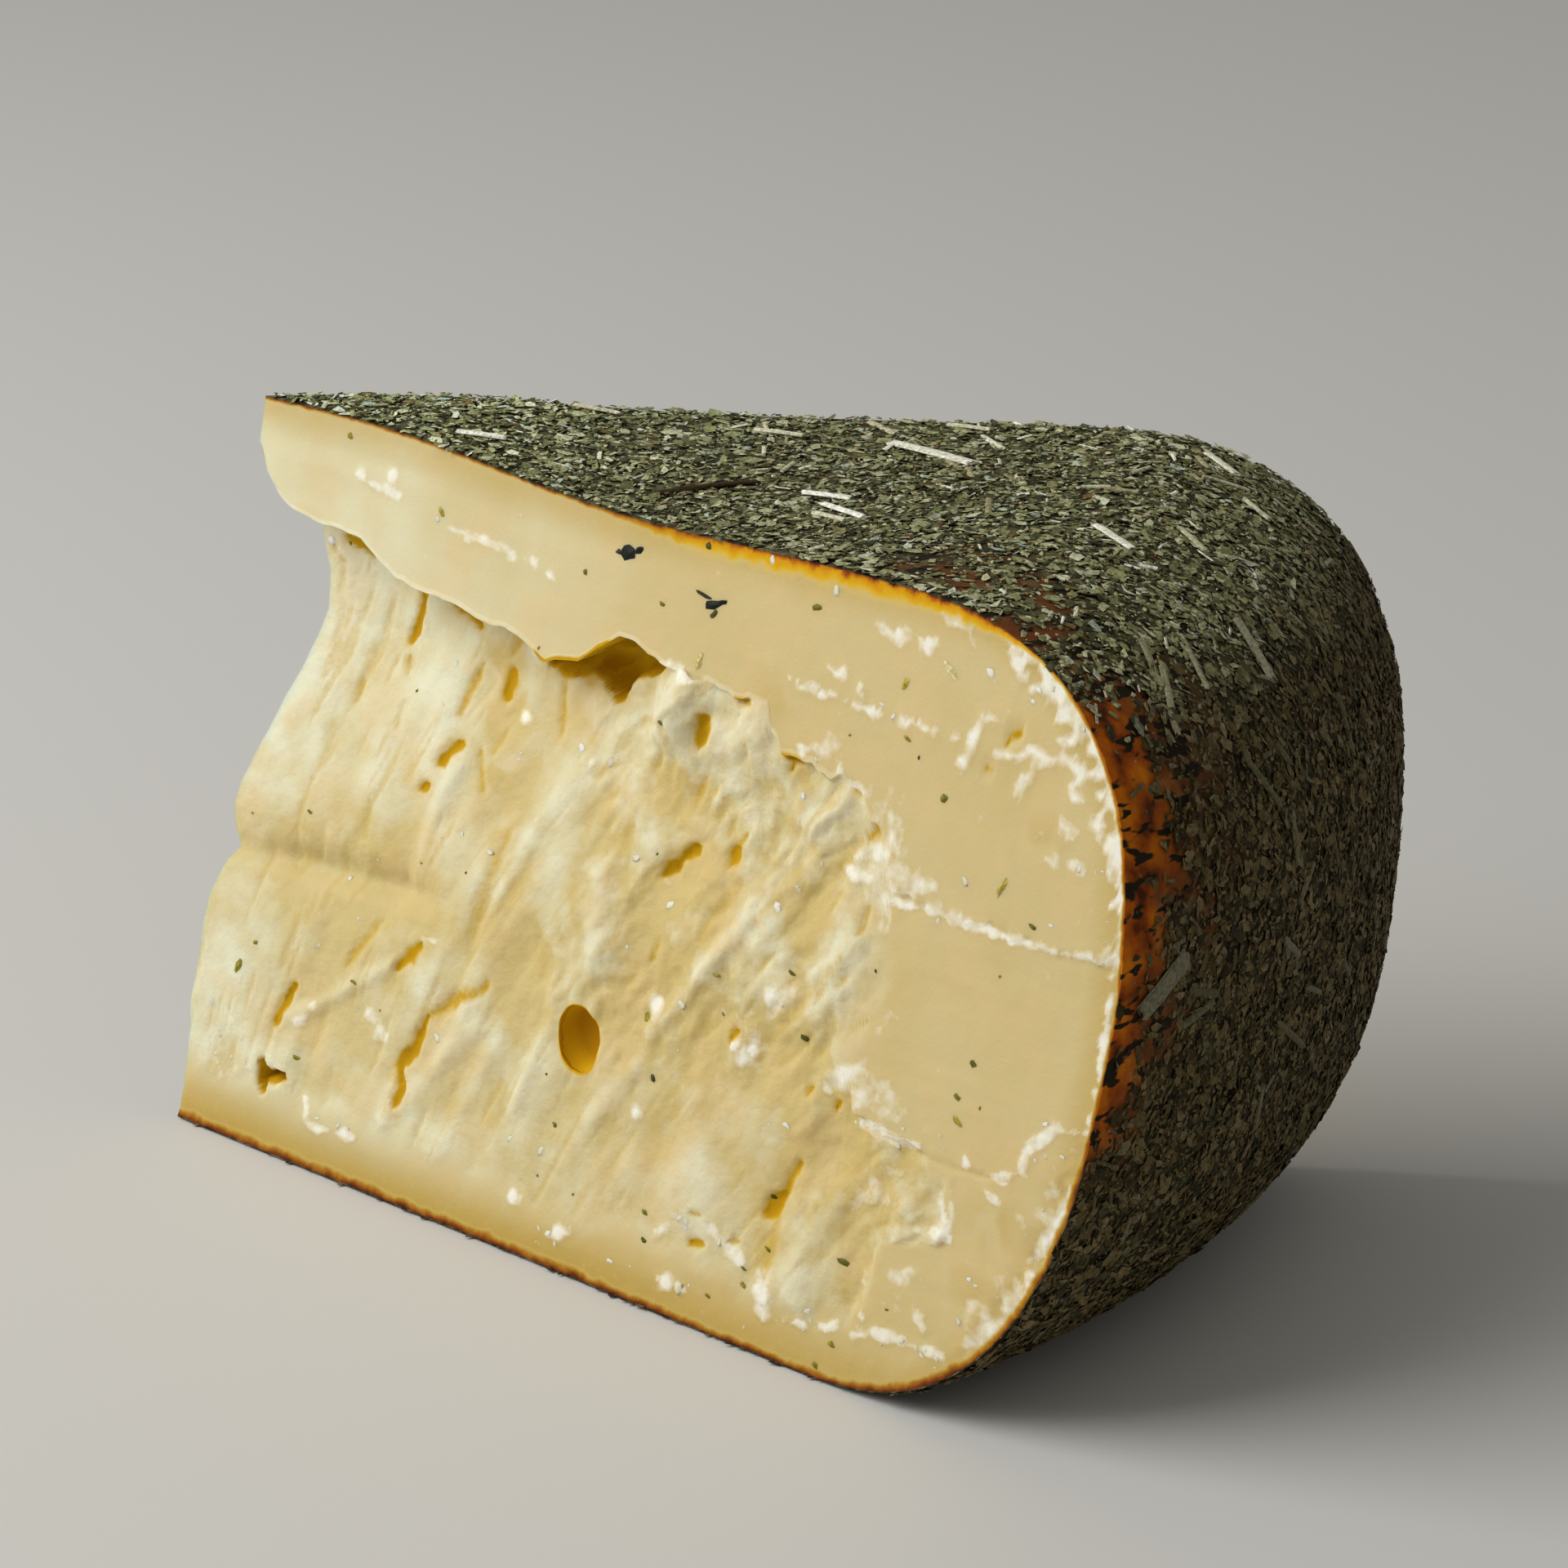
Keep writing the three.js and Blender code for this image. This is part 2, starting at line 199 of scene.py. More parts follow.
def profileAt(share):  # from the middle of the top, over the heel, to the middle of the base
    flatShare = wheel["flatShare"]
    heel = np.clip((share - flatShare) / (1 - 2 * flatShare), 0, 1)
    z = wheel["height"] * (1 + np.cos(np.pi * heel)) / 2
    onTop, onBase = share < flatShare, share > 1 - flatShare
    radius = np.where(onTop, wheel["topFlat"] * share / flatShare, radiusAt(z))
    return np.where(onBase, wheel["baseFlat"] * (1 - share) / flatShare, radius), z


def topRise(x, y):
    return sum(rise * hill(np.hypot(x - sx, y - sy), reach) for sx, sy, reach, rise in wheel["swells"])


def rindInset(x, y, z):  # how far the heel lies inside the wheel's curve: uneven, with room for the coat
    return wheel["coatRoom"] + wheel["uneven"] * (0.8 - swell(x / 17 + y / 29, z / 19))


def rindLift(x, y, z):
    girth = wheel["girth"]
    upward = (topRise(x, y) - wheel["coatRoom"]) * smooth(z, girth, wheel["height"])
    return upward + wheel["baseRoom"] * (1 - smooth(z, 0, girth))


def rindPoint(share, turn):  # a point on the rind, a little inside the coat of herb
    radius, z = profileAt(share)
    x, y = radius * np.cos(turn), radius * np.sin(turn)
    onHeel = smooth(radius, wheel["baseFlat"], wheel["baseFlat"] + 12)
    lift = rindLift(x, y, z)
    shrink = 1 - rindInset(x, y, z) * onHeel / wheel["radius"]
    return np.stack([x * shrink, y * shrink, z + lift], -1)


def tipAt(z):
    share = np.asarray(z) / wheel["height"]
    base, top = np.array(wedge["tipBase"]), np.array(wedge["tipTop"])
    return base[0] + (top[0] - base[0]) * share, base[1] + (top[1] - base[1]) * share


def cutDistances(x, y, z):  # how far inside the front cut and the back cut
    tipX, tipY = tipAt(z)
    slant = (wedge["tipTop"][1] - wedge["tipBase"][1]) / wheel["height"]
    front = (y - tipY) / math.hypot(1, slant)
    return front, (x - tipX) * math.sin(wedge["angle"]) - (y - tipY) * math.cos(wedge["angle"])


def rindDepth(x, y, z):
    radius = np.hypot(x, y)
    level = z - rindLift(x, y, z)
    slant = radiusAt(level + 0.5) - radiusAt(level - 0.5)
    toHeel = (radiusAt(level) - rindInset(x, y, level) - radius) / np.hypot(1, slant)
    toTop = wheel["height"] + rindLift(x, y, wheel["height"]) - z
    return np.clip(np.minimum(np.minimum(toHeel, toTop), z - wheel["baseRoom"]), 0, 50)


# the front cut: smooth under the top rind and near the heel, torn and hollow between

torn = {
    "lip": [
        (-14, 91), (-9.4, 88.5), (-7.6, 85.5), (-5, 83.3), (-2, 82), (3, 81.2), (12, 80.9), (16, 79),
        (20, 77), (28, 76.5), (36, 75.4), (43, 74.8), (48.5, 72.8), (50.2, 73.4), (54.4, 74), (57.2, 76.6),
        (60.6, 78.6), (63.4, 78.5), (66, 77.5), (69.5, 77), (75, 76.6), (82, 75.7), (87.4, 75.4),
        (88.4, 72.8), (91, 71.6), (97, 71.2), (103, 70), (106, 68), (110, 64), (112, 59), (135, 59),
        (160, 60.5),
    ],
    # spacing, row and height of the lip's waves, and of its crumbs to the right of the cave
    "lipWaves": [(3.4, 3.3, 0.7), (1.6, 8.7, 0.3)],
    "lipCrumbs": [(2.6, 5.1, 1.5), (1.2, 7.7, 0.9)], "crumbsFrom": (64, 72),
    # depth of the hollow at each height, how much of it is left at each x, and where the tear ends
    "deep": [
        (36, 0), (42, 0.8), (47, 2.1), (51, 3.1), (57, 4.6), (61, 5.7), (64, 6.5), (68, 7.1), (73, 6.9),
        (76, 6.3), (83, 5),
    ],
    "reach": [(15, 1), (30, 0.88), (55, 0.7), (75, 0.45), (95, 0.24), (112, 0.1), (118, 0.03)],
    # to the right of the cave the torn paste meets the lip almost level
    "flush": {"share": 0.9, "x": (63, 71), "z": (56, 72)},
    "overhang": 1.6, "baseBand": 8, "wander": 7, "wanderSize": 4.2,
    "edge": [
        (0, 117), (8, 118), (12, 119.5), (19, 120.5), (21, 129), (25, 130), (29, 128), (31, 126),
        (32.5, 114), (40, 113), (45, 115), (52, 114.5), (58, 112), (64, 110), (69, 106), (72, 100),
        (75.5, 92),
    ],
    "crease": {
        "z": 36.4, "slope": 0.05, "fold": (1.45, 6, 5), "notch": (0.8, 2.2, 1.2), "from": 26, "to": 40,
    },
    "tipSwell": {"z": 19, "reach": 9, "height": 0.35, "to": 30},
    "streak": {"spacing": 4.6, "length": 20, "height": 0.8, "slope": (0.12, 0.0072)},
    "flake": {  # x and z are where the paste turns flaky
        "lean": 54, "wide": 5.2, "long": 9.5, "height": 2.3, "broken": 0.45, "x": (46, 70), "z": (12, 26),
    },
    "lump": {"size": 9, "height": 1.9},
    # how finely the front cut is divided: along it, and up it under, in and over the lip
    "columns": 356, "underRows": 172, "lipRows": 8, "overRows": 36,
}
ovalEye = {
    "x": 65.2, "z": 28.9, "halfWidth": 3.5, "halfHeight": 4.4, "depth": 3.6, "sunk": 0.7,
    "lean": math.radians(-24),
}

# holes and slits where they show on the flat of the cut: a line, half the width, the depth
pits = [
    ([(50, 73.8), (56.5, 75.2), (61.5, 76.4), (68.4, 77)], 2.4, 5), ([(61.6, 79), (61.9, 72.2)], 3.5, 5),
    ([(25, 77.5), (25.3, 74.5), (23.8, 70.3)], 0.95, 1.7), ([(24.1, 68.4), (24, 66)], 0.8, 0.9),
    ([(19.6, 75.5), (18.6, 70)], 0.8, 0.5), ([(17.6, 68.6), (16.3, 64.6)], 1, 0.5),
    ([(16, 63.4), (15.2, 60.4)], 0.9, 0.9), ([(24.8, 63), (24, 59)], 0.7, 0.5),
    ([(37.4, 70.5), (35, 63.5)], 0.8, 0.9), ([(42.6, 70.3), (42.2, 66.8)], 1.25, 1.5),
    ([(43.6, 76), (42.2, 72.6)], 1, 0.8), ([(43.4, 63), (41.8, 59.5)], 0.7, 0.7),
    ([(39.6, 59.5), (41.4, 54.3)], 0.8, 0.9), ([(52.1, 73), (52.9, 64.5)], 0.75, 0.9),
    ([(36.3, 59.8), (33.3, 56.8)], 1.3, 1.6), ([(31.6, 53.2), (30.2, 52.4)], 1, 1.5),
    ([(30.8, 76.8), (36, 74.8)], 0.8, 1.6), ([(9.5, 80.9), (14.8, 80)], 0.7, 1.5),
    ([(7, 79.2), (9.6, 77.8)], 0.7, 0.7), ([(35.2, 50), (33.6, 44)], 0.9, 0.5),
    ([(21.4, 49), (21.6, 44)], 0.8, 0.5), ([(47.6, 50.5), (45, 43), (43.6, 36)], 1.3, 0.7),
    ([(14, 44), (14.4, 39.5)], 0.9, 0.5), ([(35.2, 33.4), (33.8, 31.8), (31.6, 29.4)], 1.3, 1.5),
    ([(27.4, 34.6), (21.6, 27)], 0.9, 0.8), ([(14.8, 35), (13.6, 31)], 1, 0.4),
    ([(12.8, 22.2), (10.8, 17)], 1.05, 1.5), ([(10, 11.4), (10.6, 8)], 0.9, 2.6),
    ([(10.2, 9.8), (14.2, 10.6)], 0.9, 4.6), ([(47.8, 31), (43.4, 28.4), (38.6, 24.8)], 1.3, 1),
    ([(38.4, 25), (37.2, 20.6), (35, 17.4), (36.4, 14.6), (35.2, 12.2)], 1, 1.7),
    ([(37.4, 22.4), (33.4, 15.6)], 1.3, 0.4), ([(76.8, 72.4), (76.9, 68.6)], 1.3, 1.6),
    ([(82.4, 75.9), (84.6, 75.8)], 0.6, 1.1), ([(85.2, 71), (86.4, 66.6)], 1, 0.6),
    ([(91.8, 70.9), (94.6, 70.8)], 0.7, 1.5), ([(93, 70.6), (92.6, 69)], 0.6, 1.3),
    ([(103.4, 69.6), (105, 69)], 0.6, 0.9), ([(109.2, 66.8), (107.2, 64.4)], 0.8, 1),
    ([(106, 64), (103.2, 59.8)], 0.9, 0.7), ([(78.9, 65.2), (77.8, 60.8)], 0.9, 0.8),
    ([(64.6, 63.8), (60.6, 61)], 0.9, 0.6), ([(88, 60.6), (86.6, 58.8)], 0.6, 1),
    ([(86.6, 58.2), (85.4, 56)], 1.15, 1.6), ([(79.4, 56.6), (77, 54.4), (74, 51.6)], 1.1, 1.6),
    ([(66.4, 55), (64.8, 52)], 0.7, 0.5), ([(109.4, 57), (108.6, 53.4)], 0.8, 0.8),
    ([(87.6, 54), (82.6, 46)], 1.3, 0.6), ([(75.7, 44.4), (74.6, 41)], 0.8, 0.8),
    ([(91.2, 36.8), (90.4, 35.4)], 0.6, 1.3), ([(105, 33.4), (104.2, 32.4)], 0.6, 1.1),
    ([(109.8, 33.2), (109, 31.8)], 0.7, 1.3), ([(112.4, 43.8), (110, 42)], 0.6, 0.8),
    ([(104.9, 24), (103.4, 19.6)], 0.8, 1.1), ([(103.4, 19.6), (101.2, 16.8)], 1.1, 1.7),
    ([(103, 17), (103.2, 9.4)], 1.4, 0.7), ([(90, 10), (92.4, 10.6)], 0.6, 1.2),
    ([(96.4, 12.2), (98, 12.4)], 0.5, 0.9), ([(89.4, 13.8), (91.2, 14)], 0.5, 0.9),
    ([(127.6, 82.2), (125.2, 79.6)], 0.7, 1.3), ([(123, 76.8), (124.6, 76.9)], 0.8, 1.3),
    ([(107, 50), (96, 36)], 1.1, 0.6), ([(99, 62), (92, 50)], 1.2, 0.5),
    ([(119.6, 18.4), (118.2, 14.4), (118.8, 11)], 0.7, 0.5),
    ([(127.4, 22.6), (122, 21.8), (119, 20.4)], 0.7, 0.5), ([(118, 29.6), (111, 24)], 1.2, 0.5),
    ([(138, 31.2), (128, 30.4), (114, 31.4)], 0.5, 0.5),
]

# lumps and ridges that stand out of the torn paste: a line, half the width, the height
raised = [
    ([(11, 17.5), (17.5, 20.6), (23.5, 25), (30.5, 29.6)], 1.8, 0.45),
    ([(34, 10), (40, 18), (48, 26)], 2.2, 0.35), ([(73.4, 77), (72, 70), (74, 63)], 5, 1.1),
    ([(77, 33), (83, 41), (89.5, 51)], 2.4, 0.9), ([(44.6, 29), (46.4, 40), (50, 53)], 2.4, 0.35),
    ([(66, 40), (63, 50)], 3.4, 0.5), ([(92, 52), (99, 58)], 2.4, 0.6),
    ([(56, 18), (60, 30), (59, 38)], 2.4, 0.5), ([(102, 46), (108, 52)], 2.4, 0.5),
    ([(80, 62), (84, 70)], 2.4, 0.4), ([(30, 40), (33, 56)], 2.6, 0.4), ([(96, 63), (102, 68)], 2.2, 0.5),
    ([(108, 12), (112, 22)], 3, 0.4), ([(70, 20), (76, 28)], 2.6, 0.4),
]

# pale ragged lines of paste that the knife dragged: a line, half the width
dragged = [
    ([(14, 91.5), (24, 89.6)], 0.5), ([(33, 87.6), (42, 87.2), (52, 85)], 0.8),
    ([(88, 80.6), (94, 80), (103, 79.4), (120, 79.2)], 0.6), ([(96, 83), (104, 80.6)], 0.45),
    ([(103, 89), (112, 88.6)], 0.9), ([(112, 92.6), (117, 92)], 0.9),
    ([(112, 58), (119, 58.8), (127, 58.5), (138, 58.8), (148, 60)], 0.75),
    ([(104, 60), (112, 60), (118, 61.4)], 1.4), ([(119.6, 76.6), (121.4, 82), (124.4, 83)], 1.1),
    ([(128.6, 75), (130.6, 79), (133, 80.2), (140, 79.6)], 1.1), ([(124.4, 79), (131, 80)], 0.9),
    ([(136.4, 72.2), (139, 72.6)], 1), ([(137, 76.8), (138.6, 76)], 1),
    ([(136.6, 80.4), (137.8, 79)], 0.9), ([(135.4, 69), (140.6, 68.6)], 0.9),
    ([(139.6, 33.4), (141, 36.6), (143.4, 39), (148.4, 39.6)], 0.9),
    ([(148, 58), (148.6, 46), (148.5, 41)], 0.7),
    ([(113.4, 33.4), (114, 31.6), (119, 31.2), (123.4, 31.6)], 0.9),
    ([(131, 31.6), (136.4, 31), (139.8, 33)], 0.8), ([(135.6, 29.2), (137.4, 28.4)], 0.8),
    ([(147.8, 33), (146, 28), (144.4, 24.4)], 1.5), ([(144, 19.6), (141, 15.4), (138.8, 13)], 1.6),
    ([(128.4, 27), (129.6, 24)], 0.8), ([(125, 22), (130.6, 22.4)], 0.8),
    ([(118.8, 7.4), (124, 8.6), (133, 8.6)], 0.9), ([(118.4, 14.6), (119.4, 9.6)], 0.7),
    ([(127.4, 13), (129, 11)], 1), ([(103, 9.6), (102.8, 7.4), (104, 5.4)], 1.7),
    ([(107.4, 5.4), (110.6, 6)], 0.7), ([(113, 6.4), (116, 7.4)], 0.7),
    ([(18.8, 8.6), (20.4, 6), (22.6, 5.8), (29, 7)], 0.9), ([(1.2, 10), (2.4, 7.6)], 0.8),
    ([(5.6, 9.4), (8, 10.4)], 0.8), ([(66, 4.4), (69.6, 5.4)], 0.8), ([(85.6, 4.6), (90.4, 4.2)], 0.8),
    ([(58.4, 7.6), (60, 7.2)], 0.9), ([(84, 9.6), (87.6, 12.4)], 0.9), ([(92, 12.8), (98.6, 10.8)], 1),
    ([(35.6, 34.2), (39.6, 34.6)], 0.6), ([(27.6, 22), (31, 20.4)], 1.3),
    ([(14.8, 18), (17.6, 20.4)], 0.8), ([(46, 74.6), (48.6, 73.2)], 1.2), ([(64, 63.6), (60.4, 63)], 0.7),
    ([(68, 77.6), (75, 76.8)], 0.7), ([(94, 72.4), (98, 73)], 0.9), ([(101, 71), (105, 69.4)], 0.9),
    ([(129.4, 22), (130.6, 25), (129, 28.6)], 0.9), ([(108, 35), (112, 38)], 1.8),
    ([(105, 62), (112, 64)], 1.2), ([(110, 68), (113, 63)], 1),
]

# crystals and loose crumbs: x, z and length. The short ones are meshed, the others are whitish marks.
meshedCrystal = 1.7
crystals = [
    (46.5, 65.5, 2.2), (57.5, 64, 1.2), (70, 53.2, 1.5), (77, 49, 1.6), (94.7, 53, 1.5),
    (44.6, 47.7, 1.4), (96.5, 42.2, 2.8), (77, 36.2, 2.4), (81.8, 37.7, 1.2), (93, 34, 2.6),
    (91.4, 35.2, 2), (94.4, 35, 1.8), (102.3, 28.1, 1.3), (77.5, 23, 2), (41, 22.9, 1.4), (56.7, 14, 1.2),
    (62.5, 14, 1.2), (59, 7.3, 2), (67.8, 5, 2.2), (66, 4.5, 1.3), (77.3, 4.2, 1.2), (87.4, 4.4, 2.2),
    (89.6, 4.2, 1.5), (-1.6, 16.5, 1.3), (63, 63.4, 1.1), (123.3, 63.2, 1.2), (121.3, 87.5, 1.3),
    (21, 92.4, 1.8), (84, 93, 1.2), (95, 91.6, 1.3), (6.8, 79.4, 1.6), (7, 78.8, 1.6), (8.4, 78.8, 2),
    (96.6, 42.2, 3.2), (103.4, 7.4, 2.6),
]

# whitish veils: x, z and reach
veils = [
    (124, 17, 4), (118, 35, 4), (88, 62, 4), (97, 74, 4), (112, 60, 8), (107, 66, 6), (114, 40, 7),
    (110, 47, 6), (113, 33, 5), (117, 24, 5), (97, 42, 4), (92, 36, 5), (139, 15, 5), (144, 27, 4),
]

# where the torn paste is tan: x, z and reach
tans = [
    (137, 25, 5), (136, 18, 4), (133, 70, 4), (121, 27, 4.5), (110, 23, 4), (113, 28.5, 3.5),
    (104, 25, 3.5), (108, 11, 4), (114, 10, 3), (103, 13, 3), (87, 76, 4), (94, 70, 4), (78, 53, 4),
    (100, 54, 5), (84, 42, 4), (34, 66, 5), (10, 38, 6), (24, 41, 6), (56, 40, 4), (72, 60, 6),
    (62, 46, 5), (40, 56, 4), (46, 50, 5), (50, 44, 4), (37, 61, 3),
]


def seenShift():  # how far a point 1 mm deep in the hollow shows sideways and up on the flat of the cut
    azimuth, elevation = math.radians(camera["azimuth"]), math.radians(camera["elevation"])
    return math.tan(azimuth), math.tan(elevation) / math.cos(azimuth)


def asSeen(x, z):
    sideways, up = seenShift()
    depth = mainHollow(x, z) + 0.3 * tornShare(x, z)
    return x + depth * sideways, z + depth * up


def raggedLip(x):
    lip = along(torn["lip"], x)
    for spacing, row, height in torn["lipWaves"]:
        lip = lip + height * (swell(x / spacing, row) - 0.5)
    crumbs = sum(height * (swell(x / spacing, row) - 0.5) for spacing, row, height in torn["lipCrumbs"])
    return lip + smooth(x, *torn["crumbsFrom"]) * crumbs


def tornShare(x, z):  # 1 where the paste is torn
    wander = torn["wander"] * (clumps(x / torn["wanderSize"], z / torn["wanderSize"], 3) - 0.5)
    edge = along(torn["edge"], z) + wander
    soft = 2 + 6 * smooth(z, 31, 40)
    band = torn["baseBand"] + wander
    return (1 - smooth(x, edge - soft, edge + 0.5)) * smooth(z, band - 3, band + 3)


def creaseDip(x, z):  # a broad fold with a sharp notch in it
    crease = torn["crease"]
    off = z - crease["z"] - crease["slope"] * x
    dips = []
    for depth, above, below in (crease["fold"], crease["notch"]):
        dips.append(depth * hill(off, np.where(off > 0, above, below)))
    return (dips[0] + dips[1] * (1 + smooth(x, 0, 8))) * (1 - smooth(x, crease["from"], crease["to"]))


def mainHollow(x, z):
    tip, flush = torn["tipSwell"], torn["flush"]
    swollen = tip["height"] * hill(z - tip["z"], tip["reach"]) * (1 - smooth(x, 0, tip["to"]))
    filled = flush["share"] * smooth(x, *flush["x"]) * smooth(z, *flush["z"])
    return along(torn["deep"], z) * along(torn["reach"], x) * (1 - filled) + creaseDip(x, z) - swollen


def flakiness(x, z):  # 0 towards the tip, where the torn paste is smooth, 1 where it is flaky
    flake = torn["flake"]
    upper = smooth(x + 8 * (swell(x / 9, z / 9) - 0.5), *flake["x"]) * smooth(z - 0.12 * x, *flake["z"])
    return np.maximum(upper, 0.75 * smooth(x, 96, 108) * smooth(z, 12, 19))


def upright(x, z):  # across the streaks, which fan out from the tip
    slope = torn["streak"]["slope"]
    return x - (z - 50) * (slope[0] + slope[1] * np.maximum(x, 0))


def leaning(x, z):  # across and along the flakes
    lean = math.radians(torn["flake"]["lean"])
    side = z * math.cos(lean) - x * math.sin(lean) + 2.5 * (swell(x / 6, z / 5) - 0.5)
    return side, x * math.cos(lean) + z * math.sin(lean)


def raisedBy(x, z):
    ridges = [height * (1 - smooth(nearLine(line, x, z)[0], 0, half)) for line, half, height in raised]
    return np.max(ridges, axis=0)


def grooves(x, z):  # faint ochre streaks
    flaky, (side, forward) = flakiness(x, z), leaning(x, z)
    soft = 0.32 * smooth(clumps(upright(x, z) / 1.7 + 3, z / 9, 2), 0.62, 0.8) * (1 - flaky)
    return soft + 0.4 * smooth(clumps(side / 1.7 + 13, forward / 4.6, 2), 0.62, 0.8) * flaky


def tornRelief(x, z):
    streak, flake, lump = torn["streak"], torn["flake"], torn["lump"]
    flaky, (side, forward) = flakiness(x, z), leaning(x, z)
    streaks = streak["height"] * (clumps(upright(x, z) / streak["spacing"], z / streak["length"], 2) - 0.5)
    streaks = streaks * (1 - 0.6 * smooth(x, 44, 60) * (1 - smooth(z, 26, 36)))
    flakes = flake["height"] * (clumps(side / flake["wide"], forward / flake["long"], 3) - 0.5)
    broken = flake["broken"] * (0.3 - np.abs(2 * clumps(side / 2.2 + 9, forward / 3.4, 3) - 1))
    lumps = lump["height"] * (clumps(x / lump["size"], z / lump["size"], 2) - 0.5)
    calm = 0.1 + 0.9 * smooth(x, -2, 18)  # the tip is smoother
    rough = flaky * (flakes + broken) + (1 - 0.6 * flaky) * streaks
    level = 0.5 * smooth(z, 8, 26) * (1 - smooth(x, 64, 71) * smooth(z, 62, 71))
    return calm * (lumps + rough + level) + 0.5 * grooves(x, z) - raisedBy(x, z)


def pitShare(x, z, halfWidth, line):  # narrower at both ends, with a soft, ragged edge
    away, place = nearLine(line, x, z)
    ends = 0.5 + 0.5 * np.sin(np.pi * place) ** 0.6
    width = halfWidth * ends * (0.55 + 0.9 * swell(x / 2.1 + 3, z / 2.1))
    uneven = away + min(halfWidth, 1.1) * (0.9 * clumps(x / 1.5, z / 1.7, 2) - 0.45)
    return 1 - smooth(uneven, 0.05 * width, 1.6 * width)


def deepest(listed, x, z):
    return np.max([depth * pitShare(x, z, halfWidth, line) for line, halfWidth, depth in listed], axis=0)


def allPits(x, z):
    return deepest(pits, *asSeen(x, z))


def stain(x, z):  # the paste is ochre round a hole
    seenX, seenZ = asSeen(x, z)
    ragged = 1.6 * (clumps(x / 2.3 + 9, z / 2.6, 3) - 0.5)
    shares = []
    for line, halfWidth, depth in pits:
        away = nearLine(line, seenX, seenZ)[0] + ragged
        shares.append(min(depth / 1.6, 1) * (1 - smooth(away, 0.5 * halfWidth, 1.4 * halfWidth + 1.1)))
    return 0.34 * np.max(shares, axis=0)


def pitDepth(x, z):  # a shallow pit is cut less deep; its ochre, deepened as painted shade, shows it instead
    marked = allPits(x, z)
    return marked * (0.4 + 0.6 * smooth(marked, 1.6, 4))


def spots(listed, x, z):  # soft round spots: the x, z and reach of each
    return np.max([hill(np.hypot(x - cx, z - cz), reach) for cx, cz, reach in listed], axis=0)


def tanShare(x, z):
    return spots(tans, x, z) * smooth(clumps(x / 3.6 + 2, z / 3.6, 3), 0.3, 0.62)


def frontRindDepth(x, z):
    return rindDepth(x, tipAt(z)[1] + 0 * x, z)


def crumbledRim(x, z):  # 1 in the crumbled paste beside the rind of the heel, low down
    beside = 1 - smooth(frontRindDepth(x, z), 1.5, 5.5)
    return beside * smooth(x, 126, 133) * smooth(z, 8, 12) * (1 - smooth(z, 33, 40))


def smears(listed, x, z):
    ragged = 2 * (clumps(x / 1.7, z / 1.3, 3) - 0.5)
    return [1 - smooth(nearLine(line, x, z)[0] + ragged, 0, 1.4 * half) for line, half in listed]


def rimChalk(inRind, x, z):  # the whitish, broken band inside the rind of the heel
    ragged = inRind + 5 * (clumps(x / 2.6, z / 2.2, 3) - 0.5)
    wide = 1 + 3.2 * smooth(z, 60, 74) * (1 - smooth(z, 88, 94))
    gaps = smooth(clumps(x / 2.3 + z / 3, z / 1.1, 2), 0.34, 0.56)
    shreds = (1 - smooth(ragged, 0.6 * wide, 1.3 * wide)) * gaps
    edge = 1 - smooth(inRind + 1.6 * (clumps(x / 1.7, z / 1.7, 2) - 0.5), 0.6, 1.7)
    return smooth(x, 112, 122) * smooth(z, 54, 62) * np.maximum(1.1 * shreds, edge)


def chalk(x, z):  # 1 where the front cut is whitish: dragged lines, crystals, veils, crumbled paste
    seenX, seenZ = asSeen(x, z)
    lines = smears(dragged, seenX, seenZ)
    lines.append(0.68 * spots(veils, x, z) * smooth(clumps(x / 5, z / 5, 3), 0.35, 0.6))
    large = [(cx, cz, 0.55 * length) for cx, cz, length in crystals if length >= meshedCrystal]
    lines.append(1.5 * spots(large, seenX, seenZ))
    lines.append(0.9 * crumbledRim(x, z) * smooth(clumps(x / 2.4 + 5, z / 2.4, 2), 0.4, 0.6))
    lines.append(rimChalk(frontRindDepth(x, z), x, z))
    return np.max(lines, axis=0)


def knifeMarks(x, z):
    broad = 0.35 * (swell(x / 31, z / 13) - 0.5)
    return broad + 0.1 * (swell(x / 16, z / 1.4) - 0.5) + 0.06 * (swell(x / 1.2, z / 1.2) - 0.5)


def chalkRise(x, z):
    crumbled = 0.9 * crumbledRim(x, z) * (clumps(x / 2, z / 2, 3) - 0.35)
    return 0.3 * chalk(x, z) * clumps(x / 1.2, z / 1.2, 2) - crumbled


def underLip(x, z):
    share = tornShare(x, z)
    depth = mainHollow(x, z) + share * tornRelief(x, z) + pitDepth(x, z)
    return depth + (1 - share) * knifeMarks(x, z) - chalkRise(x, z)


def overLip(x, z):
    return knifeMarks(x, z) + pitDepth(x, z) * (x > 115) - chalkRise(x, z)


def gridTool(name, columns, rows, pointsAt, push):  # a closed slab with one shaped side
    bpy.ops.mesh.primitive_grid_add(x_subdivisions=columns, y_subdivisions=rows, size=2)
    tool = bpy.context.object
    tool.name = name
    flat = readPoints(tool)
    column = np.rint((flat[:, 0] + 1) / 2 * columns)
    row = np.rint((flat[:, 1] + 1) / 2 * rows)
    movePoints(tool, toFrame(pointsAt(column, row)))
    bpy.ops.object.mode_set(mode="EDIT")
    bpy.ops.mesh.select_all(action="SELECT")
    bpy.ops.mesh.extrude_region_move(TRANSFORM_OT_translate={"value": Vector(push) * mm})
    bpy.ops.object.mode_set(mode="OBJECT")
    finishNormals()
    return tool


